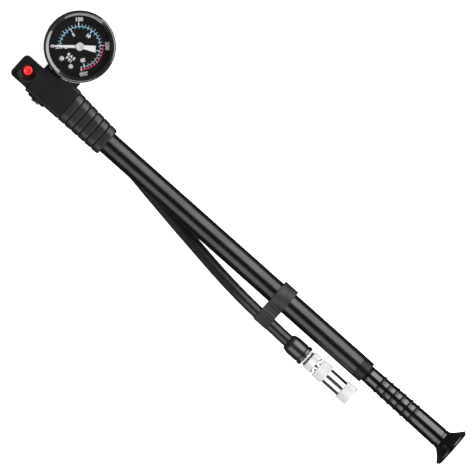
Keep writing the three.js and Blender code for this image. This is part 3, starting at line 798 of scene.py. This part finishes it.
def block(name, low, high):
    """A block between two corners in millimetres from the barrel's datum."""
    deselect()
    size = [mm(b - a) for a, b in zip(low, high)]
    centre = BARREL + Vector([mm((a + b) / 2) for a, b in zip(low, high)])
    bpy.ops.mesh.primitive_cube_add(size=1, location=centre, scale=size)
    piece = bpy.context.object
    piece.name = name
    settle()
    return piece


def about(origin, angle, axis):
    """A turn about an axis through a point."""
    return Matrix.Translation(origin) @ Matrix.Rotation(angle, 4, axis) @ Matrix.Translation(-origin)


# %% Slots in the nut
SLOTS, SLOT_HALF = 8, 0.7
slot_centre_y = CHUCK.y * 1000
for index in range(SLOTS):
    low = (235.7, slot_centre_y - SLOT_HALF, 4.5)
    slot = block("slot", low, (237.2, slot_centre_y + SLOT_HALF, 6.2))
    slot.data.transform(about(CHUCK, math.tau * index / SLOTS, "X"))
    cut(nut, slot)
smooth(nut, CRISP)
dress(nut, CHROME, "chrome", "nut", "pin_nut")
finish_band(nut, SATIN_CHROME, (231.05, 236.2), 5)
finish_band(core, SATIN_CHROME, (229.2, 230.2), 2.7)
count(nut)

# %% Chuck sleeve
SLEEVE_SIDES = 144
sleeve_outline = [
    (237.7, 2.9), (237.7, 5.4), (238.1, 5.78), (244.1, 5.78), (244.5, 5.3), (244.5, 4.7),
    (255.8, 4.7), (255.8, 5.3), (256.3, 5.78), (261.7, 5.78), (262.5, 5.45), (262.8, 5.0),
    (262.8, 4.05), (247.5, 4.05), (247.5, 2.9),
]
chuck = turned("chuck_barrel", "X", CHUCK, sleeve_outline, SLEEVE_SIDES, ring=True, soft=0.15)
for band in ((238, 244.2), (256.1, 261.8)):
    knurl(chuck, CHUCK, band, 5.78, KNURL_DEPTH, SLEEVE_SIDES)
dress(chuck, CHROME, "chrome", "valve_sleeve", "chuck_sleeve")
for band in ((237.6, 244.6), (255.7, 262.9)):
    finish_band(chuck, SATIN_CHROME, band, 4.95)
count(chuck)

# %% Gasket and pin
gasket = turned("valve_gasket", "X", CHUCK, sleeve(250, 252, 1.6, 3.85), 64, ring=True)
dress(gasket, SEAL_RUBBER, "rubber", "valve_sleeve", "chuck_gasket")
pin_outline = [(240, 0), (240, 1.15), (252, 1.15), (252.6, 0.8), (253, 0.8), (253, 0)]
pin = turned("opener_pin", "X", CHUCK, pin_outline, 48)
dress(pin, BRASS, "brass", "pin", "valve_pin")
count(gasket, pin)

# %% [markdown]
# ## Gauge
# A gauge is a cup, a rolled bezel that holds a glass over it, and a printed dial. All three are
# turned. The bezel's section is what makes it look right: a rounded outer edge, then a smooth
# cone down to the glass. The glass is a dark shader that lets light through where it is looked
# at squarely, and reflects at a slant.
# %% Case and bezel
case_outline = [
    (-9, 0), (-9, 14), (-8.7, 14.3), (-8.7, 15.2), (-9, 15.5), (-9, 18.3), (-7.8, 19.5),
    (5.6, 19.5), (5.6, 18.2), (-7.6, 18.2), (-7.6, 0),
]
case = turned("gauge_cup", "Z", GAUGE, case_outline, 192, soft=0.5)
dress(case, ENAMEL, "gloss", "pump_body", "gauge_case")
bezel_outline = [
    (4, 19.8), (4, 20.2), (8.6, 20.2), (9.6, 19.8), (10, 19.2), (9.85, 18.6), (9.1, 17.3),
    (8.95, 17.3), (8.95, 19.8),
]
bezel = turned("rolled_bezel", "Z", GAUGE, bezel_outline, 256, ring=True, soft=0.3)
dress(bezel, BEZEL_ENAMEL, "gloss", "pump_body", "gauge_bezel")
count(case, bezel)


# %% Glass and its seal
def clear_glass():
    material, tree, shader = finish("clear_glass", (0.02, 0.02, 0.02), 0.03, IOR=1.5)
    facing = add_node(tree, "ShaderNodeLayerWeight", Blend=0.35)
    vary(tree, shader, "Alpha", between(tree, facing.outputs["Fresnel"], 0.05, 0.5, 0, 1))
    relief(tree, shader, noise(tree, 40, 1), 0.02, mm(0.05))
    return material


GLASS = clear_glass()
glass_outline = [(7.9, 0), (7.9, 19.4), (8.7, 19.4), (8.85, 17), (8.9, 8), (8.92, 0)]
glass = turned("gauge_glass", "Z", GAUGE, glass_outline, 192, soft=0.1)
dress(glass, GLASS, "clear", "pump_body", "gauge_lens")
glass_seal = turned("glass_seal", "Z", GAUGE, sleeve(5.9, 7.6, 18.3, 19.4), 128, ring=True)
dress(glass_seal, SEAL_RUBBER, "rubber", "pump_body", "lens_gasket")
count(glass)

# %% [markdown]
# ### The printed dial
# The dial is a thin disc printed in white, light blue and magenta. Printing could be a picture,
# but here it is drawn as very thin plates on the disc: ticks, two arcs, figures and two unit
# words, all placed from the scale's own arithmetic, so they stay crisp at any distance. Zero is
# at the lower left, and 300 is 270 degrees further round.
# %% Dial disc and inks
def printed(name, color):
    material, tree, shader = finish(name, color, 0.5, Specular_IOR_Level=0.2)
    speck = noise(tree, 2500, 2)
    tint(tree, shader, speck, color, 0.9, 1)
    relief(tree, shader, speck, 0.05, mm(0.01))
    return material


DIAL_BLACK = printed("dial_black", (0.005, 0.005, 0.006))
INK_WHITE = printed("white_ink", (0.86, 0.86, 0.85))
INK_BLUE = printed("light_blue_ink", (0.42, 0.72, 0.92))
INK_RED = printed("magenta_ink", (0.72, 0.02, 0.16))
DIAL_TOP = 3.0
dial_outline = [(2.4, 1.1), (2.4, 17.9), (3.0, 17.9), (3.0, 1.1)]
dial = turned("dial_plate", "Z", GAUGE, dial_outline, 192, ring=True, soft=0.1)
dress(dial, DIAL_BLACK, "dial", "pump_body", "gauge_dial")
count(dial)

# %% Scale arithmetic
ZERO_ANGLE, SWEEP, FULL_SCALE = 225, 270, 300
BAR = 14.504


def scale_angle(pressure):
    """The direction of a pressure on the dial, in radians from +X."""
    return math.radians(ZERO_ANGLE - SWEEP * pressure / FULL_SCALE)


def on_dial(pressure, reach, height=0):
    """The place at a pressure, at a distance from the dial's centre, in millimetres."""
    angle = scale_angle(pressure)
    return Vector((math.cos(angle) * reach, math.sin(angle) * reach, height))


INK_DEPTH = 0.05


def tick(pressure, inner, outer, width):
    """One printed line: a thin block along the dial's radius."""
    deselect()
    place = on_dial(pressure, (inner + outer) / 2, DIAL_TOP + INK_DEPTH / 2)
    bpy.ops.mesh.primitive_cube_add(
        size=1,
        location=GAUGE + place / 1000,
        rotation=(0, 0, scale_angle(pressure)),
        scale=(mm(outer - inner), mm(width), mm(INK_DEPTH)),
    )
    return bpy.context.object


def join(name, parts):
    """Several parts made one object with its place in its mesh."""
    deselect()
    for part in parts:
        part.select_set(True)
    bpy.context.view_layer.objects.active = parts[0]
    bpy.ops.object.join()
    joined = bpy.context.object
    joined.name = name
    settle()
    return joined


# %% Ticks
ZONE_START, BARS = 200, (0, 5, 10, 15, 20)


def outer_ticks(first, last):
    """The fine ticks between two pressures, every 10; the major ones are left out."""
    ticks = []
    for pressure in range(first, last, 10):
        if pressure % 100:
            end = 13.2 if pressure % 50 == 0 else 12.7
            ticks.append(tick(pressure, 11.4, end, 0.3))
    return ticks


def inner_ticks():
    return [tick(bars * BAR, 10.2, 11.1, 0.3) for bars in range(0, 21) if bars % 5]


major = [tick(p, 11.3, 13.7, 0.5) for p in (0, 100, 200, 300)]
major += [tick(bars * BAR, 9.4, 11.1, 0.5) for bars in BARS]
fine = outer_ticks(0, ZONE_START) + inner_ticks()
zone = outer_ticks(ZONE_START, FULL_SCALE)
print("ticks:", len(major), "major,", len(fine), "blue,", len(zone), "in the zone")
dress(join("major_ticks", major), INK_WHITE, "white", "pump_body")
dress(join("blue_ticks", fine), INK_BLUE, "white", "pump_body")
dress(join("zone_ticks", zone), INK_WHITE, "white", "pump_body")


# %% Arcs
def arc(name, start, end, inner, outer):
    """A printed band between two pressures: a spun edge, given the depth of the ink."""
    deselect()
    reach = on_dial(start, 1)
    low = GAUGE + (reach * inner + ALONG["Z"] * DIAL_TOP) / 1000
    bpy.ops.mesh.primitive_plane_add(size=mm(1), location=low)
    piece = bpy.context.object
    piece.name = name
    settle()
    width, depth = mm(outer - inner), mm(INK_DEPTH)
    corners = [(0, 0), (width, 0), (0, depth), (width, depth)]
    for vertex, (out, up) in zip(piece.data.vertices, corners):
        vertex.co = low + reach * out + ALONG["Z"] * up
    edit_all()
    steps = max(8, round(abs(end - start) / 3))
    sweep = math.radians(SWEEP * (end - start) / FULL_SCALE)
    bpy.ops.mesh.spin(steps=steps, angle=sweep, center=GAUGE, axis=(0, 0, 1))
    bpy.ops.mesh.select_all(action="SELECT")
    bpy.ops.mesh.normals_make_consistent(inside=False)
    mode("OBJECT")
    return piece


dress(arc("blue_arc", 0, ZONE_START, 11.1, 11.4), INK_BLUE, "white", "pump_body")
dress(arc("bar_arc", ZONE_START, FULL_SCALE, 11.1, 11.35), INK_BLUE, "white", "pump_body")
dress(arc("red_arc", ZONE_START, FULL_SCALE, 12.5, 13.1), INK_RED, "white", "pump_body")
print("red zone:", ZONE_START, "to", FULL_SCALE)


# %% Figures
def figure(text, place, height, angle=math.pi / 2):
    """A number or unit word, as a thin plate whose top points at an angle."""
    deselect()
    bpy.ops.object.text_add()
    letters = bpy.context.object
    letters.data.body = text
    letters.data.size = mm(height * 1.4)
    letters.data.align_x = "CENTER"
    letters.data.align_y = "CENTER"
    letters.data.extrude = mm(INK_DEPTH / 2)
    letters.data.offset = mm(0.13)
    letters.data.resolution_u = 3
    bpy.ops.object.convert(target="MESH")
    letters.location = GAUGE + (place + ALONG["Z"] * (DIAL_TOP + INK_DEPTH / 2 + 0.005)) / 1000
    letters.rotation_euler = (0, 0, angle - math.pi / 2)
    return letters


def scale_figure(number, pressure, reach, height):
    return figure(str(number), on_dial(pressure, reach), height, scale_angle(pressure))


FIGURE_PLACES = {0: 5.5, 100: 101.5, 200: 202, 300: 295}
numbers = [scale_figure(p, place, 15.2, 2.2) for p, place in FIGURE_PLACES.items()]
numbers += [scale_figure(bars, bars * BAR, 7.6, 1.9) for bars in BARS]
numbers += [figure("B A R", Vector((0, -7.3, 0)), 1.5), figure("P S I", Vector((0, -9.4, 0)), 1.5)]
dress(join("dial_figures", numbers), INK_WHITE, "white", "pump_body")
print("figures:", len(numbers))

# %% [markdown]
# ### Pointer
# The pointer is stamped sheet: a blade that tapers to the scale, and a tail that spreads to one
# side to balance it. It rests five degrees beside the zero tick. One block is cut across where
# its outline turns, and each cross line is then given its two sides. A turned boss sits over the
# arbor. The two screws that hold the dial are turned, with a slot cut across.
# %% Pointer blade
POINTER_LOW, POINTER_HIGH = 4.5, 4.9
REST_ANGLE = 220
BLADE = [(-8.8, -0.75, 3.1), (-2.2, -0.9, 1.35), (0.5, -0.95, 0.95), (14.1, -0.42, 0.42)]


def pointer_blade():
    """A block, cut where the outline turns; then each cross line is set to its two sides."""
    deselect()
    start, end = BLADE[0][0], BLADE[-1][0]
    centre = Vector((mm((start + end) / 2), 0, mm((POINTER_LOW + POINTER_HIGH) / 2)))
    size = (mm(end - start), mm(1), mm(POINTER_HIGH - POINTER_LOW))
    bpy.ops.mesh.primitive_cube_add(size=1, location=centre, scale=size)
    blade = bpy.context.object
    blade.name = "pointer_blade"
    settle()
    mode("EDIT")
    for station, _, _ in BLADE[1:-1]:
        bpy.ops.mesh.select_all(action="SELECT")
        bpy.ops.mesh.bisect(plane_co=(mm(station), 0, 0), plane_no=(1, 0, 0))
    mode("OBJECT")
    for vertex in blade.data.vertices:
        _, right, left = min(BLADE, key=lambda line: abs(mm(line[0]) - vertex.co.x))
        vertex.co.y = mm(left if vertex.co.y > 0 else right)
    activate(blade)
    modify(blade, "BEVEL", width=mm(0.07), segments=2)
    turn = Matrix.Rotation(math.radians(REST_ANGLE), 4, "Z")
    blade.data.transform(Matrix.Translation(GAUGE) @ turn)
    return blade


POINTER_PAINT = printed("pointer_white", (0.88, 0.88, 0.86))
dress(pointer_blade(), POINTER_PAINT, "white", "needle", "pointer")
hub_outline = [(5.3, 0), (5.3, 2.4), (5.9, 2.4), (6.1, 2.1), (6.1, 1.75), (5.85, 1.6), (5.85, 0)]
hub = turned("pointer_boss", "Z", GAUGE, hub_outline, 96, soft=0.12)
dress(hub, ALUMINIUM, "steel", "needle", "pointer_hub")
count(hub)


# %% Dial screws
def dial_screw(name, side, node):
    outline = [(0.2, 0), (0.2, 0.7), (3.3, 0.7), (3.3, 1.45), (3.8, 1.35), (4.1, 0.9), (4.2, 0)]
    origin = at(3.35 * side, -11.7, 0, GAUGE)
    screw = turned(name, "Z", origin, outline, 48, soft=0.15)
    x, y = (origin.x - HEAD_END) * 1000, origin.y * 1000
    cut(screw, block("driver_slot", (x - 2, y - 0.18, 3.85), (x + 2, y + 0.18, 5)))
    smooth(screw)
    return dress(screw, ALUMINIUM, "steel", "pump_body", node)


for side, word in ((-1, "left"), (1, "right")):
    screw = dial_screw("screw_" + word, side, "dial_screw_" + word)
count(screw)

# %% [markdown]
# ## Head
# The head is one nylon moulding. Its body is roughed out from blocks and cutters, then remeshed
# with small voxels and relaxed a little, which rounds every edge as the mould does and blends
# the joints. The grip's ribs are too fine for that, so they are drawn separately: a rounded
# square, extruded rib by rib. Each rib has a steep side towards the head and a round one
# towards the barrel.
# %% Rounding edges
def bevel_edges(piece, width, wanted):
    """Bevels the edges whose two ends pass a test."""
    choose(piece, "EDGE", lambda edge: wanted(*(piece.data.vertices[i].co for i in edge.vertices)))
    bpy.ops.mesh.bevel(offset=mm(width), segments=6, affect="EDGES")
    mode("OBJECT")
    return piece


def round_long_edges(piece, axis, width):
    """Bevels the edges that run along one axis."""
    along = ALONG[axis]
    return bevel_edges(piece, width, lambda a, b: abs((b - a).normalized().dot(along)) > 0.99)


def round_end(piece, station, width):
    """Bevels the ring of edges that lies at one station."""
    wanted = HEAD_END + mm(station)
    return bevel_edges(piece, width, lambda a, b: max(abs(a.x - wanted), abs(b.x - wanted)) < 1e-6)


# %% Rough head
HEAD_HALF, BODY_END = 8.6, 37.1
BOSS = at(21.1, 0, 0)


def rough_head():
    body = block("head_moulding", (12.8, -8.6, -HEAD_HALF), (BODY_END, 11.6, HEAD_HALF))
    round_end(round_long_edges(body, "X", 2.2), BODY_END, 1.1)
    ear = round_long_edges(block("ear", (13.5, 0, -HEAD_HALF), (33.4, 16, HEAD_HALF)), "X", 2.2)
    square = round_long_edges(block("square", (0, -7.4, -HEAD_HALF), (16, 7.4, 7.8)), "Z", 2.8)
    raised = [(0, 0), (0, 6.8), (9.2, 6.8), (9.8, 6.2), (9.8, 0)]
    button_collar = turned("button_collar", "Z", BUTTON, raised, 96)
    boss = turned("boss", "Y", BOSS, bar(-9.5, 0, 5.55), 64)
    for tool in (ear, square, button_collar, boss):
        cut(body, tool, "UNION")
    return body


# %% Cutters for the head
CREASE, CREASE_TURN, SLOPE = (16.4, 3.9, HEAD_HALF), math.radians(31), math.radians(-24)


def slanting_cutter():
    """The bevel beside the gauge: a block tilted about the crease."""
    tool = block("slant", (-40, 0, 0), (40, 30, 20))
    tool.data.transform(Matrix.Translation(-BARREL))
    turn = Matrix.Rotation(CREASE_TURN, 4, "Z") @ Matrix.Rotation(SLOPE, 4, "X")
    tool.data.transform(Matrix.Translation(at(*CREASE)) @ turn)
    return tool


def head_cutters():
    gauge_seat = turned("seat", "Z", GAUGE, bar(-20, 20, 20.35), 160)
    dish = [(2.5, 0), (2.5, 3.15), (7.6, 3.15), (8, 4.1), (8.6, 5), (9.8, 5.6), (11, 5.6), (11, 0)]
    button_dish = turned("dish", "Z", BUTTON, dish, 96)
    socket = turned("socket", "X", BARREL, bar(31.6, 60, 6.8), 96)
    plug_bore = turned("plug_bore", "Y", BOSS, bar(-12, -1.5, 2.5), 48)
    swivel_bore = turned("swivel_bore", "Z", SWIVEL, bar(-12, -2, 2.7), 48)
    return [gauge_seat, slanting_cutter(), button_dish, socket, plug_bore, swivel_bore]


head = rough_head()
for tool in head_cutters():
    cut(head, tool)
count(head)


# %% Round the head's edges
def mould(piece, voxel, passes):
    """Remeshes a rough piece with small voxels, then relaxes it."""
    activate(piece)
    piece.data.remesh_voxel_size = mm(voxel)
    bpy.ops.object.voxel_remesh()
    modify(piece, "SMOOTH", factor=0.5, iterations=passes)
    bpy.ops.object.shade_smooth()


mould(head, 0.26, 5)
dress(head, NYLON, "nylon", "pump_body", "head_housing")
count(head)

# %% Grip ribs
GRIP_START, GRIP_END, RIBS = 36.9, 66.6, 6
SCALLOP, STEEP_SIDE, ROUNDING = 0.75, 0.14, 0.7
RIB_STEPS = (0.02, 0.05, 0.09, 0.14, 0.4, 0.7, 0.76, 0.82, 0.87, 0.91, 0.95, 0.98, 1)


def rib_section(index, share):
    """Half sizes and centre of the grip's section, at a share of the way along a rib."""
    taper = (index + share) / RIBS
    if share > ROUNDING:
        run = (share - ROUNDING) / (1 - ROUNDING)
        hollow = SCALLOP * (1 - math.sqrt(1 - 0.97 * run * run))
    else:
        hollow = SCALLOP * max(0, 1 - share / STEEP_SIDE) ** 2.5
    half_y = 9.8 - 1.25 * taper
    return half_y - hollow, HEAD_HALF - 0.6 * taper - hollow, half_y - HEAD_HALF


def grip_ribs():
    """A rounded square at the head's end, extruded and resized from step to step."""
    deselect()
    half_y, half_z, centre_y = rib_section(0, 0)
    start = at(GRIP_START, centre_y, 0)
    bpy.ops.mesh.primitive_plane_add(size=2, location=start, rotation=TURN_TO["X"])
    grip = bpy.context.object
    grip.name = "grip_ribs"
    grip.scale = (mm(half_z), mm(half_y), 1)
    settle()
    edit_all()
    bpy.ops.mesh.bevel(offset=mm(5.6), segments=14, affect="VERTICES")
    bpy.ops.mesh.select_all(action="SELECT")
    bpy.ops.mesh.delete(type="ONLY_FACE")
    bpy.ops.mesh.select_all(action="SELECT")
    last = (GRIP_START, half_y, half_z, centre_y)
    width = (GRIP_END - GRIP_START) / RIBS
    for index in range(RIBS):
        for share in RIB_STEPS:
            station = GRIP_START + (index + share) * width
            half_y, half_z, centre_y = rib_section(index, share)
            shift = Vector((mm(station - last[0]), mm(centre_y - last[3]), 0))
            bpy.ops.mesh.extrude_region_move(TRANSFORM_OT_translate={"value": shift})
            centre = at(station, centre_y, 0)
            factors = (1, half_y / last[1], half_z / last[2])
            bpy.ops.transform.resize(value=factors, center_override=centre)
            last = (station, half_y, half_z, centre_y)
    close_ends(ring=False)
    return grip


grip = grip_ribs()
BARREL_BORE = 6.75
cut(grip, turned("grip_bore", "X", BARREL, bar(30, 70, BARREL_BORE), 96))
smooth(grip, 50)
dress(grip, GRIP_NYLON, "nylon", "pump_body", "head_housing")
count(grip)


# %% [markdown]
# ### Plug, button and bleed spring
# A plug with a hexagon socket closes the drilling in the boss; its socket is cut with a turned
# bar of only six sides. The button is a dished cap in the square end. Under it is a wire coil: a
# circle carried round by a Screw modifier, which is shorter to write than a swept curve. It is
# squeezed as the button goes down.
# %% Plug in the boss
def hex_key(axis, origin, radius, start, end):
    """A six-sided cutter for a socket."""
    return turned("hex_key", axis, origin, bar(start, end, radius), 6, soft=0)


plug_outline = [(-10.4, 0), (-10.4, 2.3), (-10.1, 2.8), (-9.8, 2.8), (-9.8, 2.2), (-4, 2.2), (-4, 0)]
plug = turned("boss_plug", "Y", BOSS, plug_outline, 64, soft=0.15)
cut(plug, hex_key("Y", BOSS, 1.3, -12, -8))
smooth(plug, 30)
dress(plug, CHROME, "chrome", "pump_body", "passage_plug")
count(plug)

# %% Red button
button_outline = [
    (6.2, 0), (6.2, 2.8), (8.5, 2.8), (9.05, 2.55), (9.3, 2.1), (9.3, 1.8), (8.95, 1.3), (8.9, 0),
]
button = turned("button_red", "Z", BUTTON, button_outline, 96, soft=0.25)
dress(button, RED, "red", "bleed_plunger", "bleed_button")
count(button)

# %% Bleed spring
COIL_RADIUS, COIL_WIRE, COIL_BOTTOM, COIL_TOP, COIL_TURNS = 1.9, 0.25, 2.6, 6.1, 3


def coil_spring():
    """A wire's round section, screwed about the button's axis by a Screw modifier."""
    deselect()
    foot = at(0, 0, COIL_BOTTOM + COIL_WIRE, BUTTON)
    bpy.ops.mesh.primitive_circle_add(
        vertices=12, radius=mm(COIL_WIRE), location=foot, rotation=(math.pi / 2, 0, 0)
    )
    piece = bpy.context.object
    piece.name = "bleed_coil"
    bpy.ops.object.transform_apply(location=False, rotation=True, scale=True)
    edit_all()
    bpy.ops.transform.translate(value=(mm(COIL_RADIUS), 0, 0))
    mode("OBJECT")
    pitch = mm((COIL_TOP - COIL_BOTTOM - 2 * COIL_WIRE) / COIL_TURNS)
    steps = {"steps": 28, "render_steps": 28}
    modify(piece, "SCREW", screw_offset=pitch, iterations=COIL_TURNS, **steps)
    edit_all()
    bpy.ops.mesh.remove_doubles(threshold=mm(0.001))
    bpy.ops.mesh.fill_holes(sides=0)
    bpy.ops.mesh.normals_make_consistent(inside=False)
    mode("OBJECT")
    settle()
    smooth(piece)
    return piece


coil = coil_spring()
dress(coil, STEEL, "steel", "pump_body", "bleed_spring")
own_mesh(coil)
count(coil)

# %% [markdown]
# ## Hose clip
# The clip is nylon: a ring that slides on the barrel and an open jaw that the hose snaps into.
# Two hollows leave a thin neck between them. It is roughed out and remeshed as the head was.
# %% Clip
CLIP_START, CLIP_END = 192.6, 202
DRILL_START, DRILL_END = 190, 205


def rough_clip():
    ring = turned("clip", "X", BARREL, bar(CLIP_START, CLIP_END, 8.3), 128, soft=0.4)
    jaw = round_long_edges(block("jaw", (CLIP_START, -19.4, -5.4), (CLIP_END, -5, 5.4)), "X", 1.2)
    for height in (6.6, -6.6):
        hollow = at(0, -9.75, height)
        cut(jaw, turned("hollow", "X", hollow, bar(DRILL_START, DRILL_END, 2.9), 64))
    cut(ring, jaw, "UNION")
    cut(ring, turned("bore", "X", BARREL, bar(DRILL_START, DRILL_END, BARREL_BORE), 128))
    hose_seat = at(0, -15.3, 0)
    cut(ring, turned("seat", "X", hose_seat, bar(DRILL_START, DRILL_END, 4), 96))
    cut(ring, block("mouth", (DRILL_START, -22, -4), (DRILL_END, -15.3, 4)))
    return ring


clip = rough_clip()
mould(clip, 0.2, 4)
dress(clip, CLIP_NYLON, "nylon", "clip", "hose_clip")
count(clip)

# %% [markdown]
# ## Swivel on the back
# The hose leaves the head through a fitting that turns on a hollow bolt. It can't be seen from
# the front, but it is what lets the hose swing, so it gets the same care.
# %% Swivel fitting
HOSE_HEIGHT, HOSE_TURN = -13.8, math.radians(-4)
fitting_outline = [
    (-18.2, 4.2), (-18.2, 4.8), (-17.4, 5.6), (-9.8, 5.6), (-9, 4.8), (-9, 4.2), (-10.7, 4.2),
    (-10.7, 2.9), (-16.5, 2.9), (-16.5, 4.2),
]
fitting = turned("swivel_body", "Z", SWIVEL, fitting_outline, 96, ring=True, soft=0.3)
nipple_origin = at(0, 0, HOSE_HEIGHT, SWIVEL)
aim = about(nipple_origin, HOSE_TURN, "Z")
nipple = turned("nipple", "X", nipple_origin, bar(4.7, 9.3, 3.4), 64)
nipple.data.transform(aim)
cut(fitting, nipple, "UNION")
smooth(fitting, 30)
dress(fitting, NYLON, "nylon", "hose_arm", "swivel_fitting")
count(fitting)

# %% Crimp sleeve and hollow bolt
crimp_outline = [
    (9.5, 3.85), (9.5, 4.3), (10.5, 4.5), (12.4, 4.5), (12.7, 4.25), (13.3, 4.25), (13.6, 4.5),
    (17, 4.5), (18, 4.3), (18, 3.85),
]
crimp = turned("crimp_sleeve", "X", nipple_origin, crimp_outline, 96, ring=True)
crimp.data.transform(aim)
dress(crimp, ENAMEL, "gloss", "hose_arm", "hose_crimp")
bolt_outline = [
    (-19.5, 0), (-19.5, 4.1), (-19.2, 4.5), (-18.5, 4.5), (-18.5, 2.4), (-3.2, 2.4), (-3.2, 0),
]
bolt = turned("hollow_bolt", "Z", SWIVEL, bolt_outline, 96, soft=0.2)
cut(bolt, hex_key("Z", SWIVEL, 1.7, -21, -17.5))
smooth(bolt, 30)
dress(bolt, STEEL, "steel", "pump_body", "swivel_bolt")
count(crimp, bolt)

# %% [markdown]
# ## Pieces that keep their CAD shape
# Most seals, the check valve and the gauge's movement are hidden inside. Their CAD solids are
# already right, so they only get finishes.
# %% Finish the inner pieces
INNER = {
    BRASS: [
        "check_valve_seat", "bleed_stem", "gauge_stem", "bourdon_tube", "movement_frame",
        "sector_gear",
    ],
    STEEL: ["check_valve_ball", "check_valve_spring", "pointer_arbor"],
    SEAL_RUBBER: [
        "seat_o_ring", "bleed_seal", "piston_o_ring", "stop_washer", "swivel_o_ring_upper",
        "swivel_o_ring_lower",
    ],
    WHITE_NYLON: ["rod_guide", "piston_head"],
}
for material, names in INNER.items():
    for name in names:
        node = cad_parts[name]
        node.data.materials.clear()
        node.data.materials.append(material)
print("finished inner pieces:", sum(len(names) for names in INNER.values()))

# %% [markdown]
# ## The hose as a cord
# The hose is a free cord between two fittings; it rides on the hose arm. Its length is the
# route's own.
dress(hose, HOSE_RUBBER, "hose", "hose_arm", "hose")
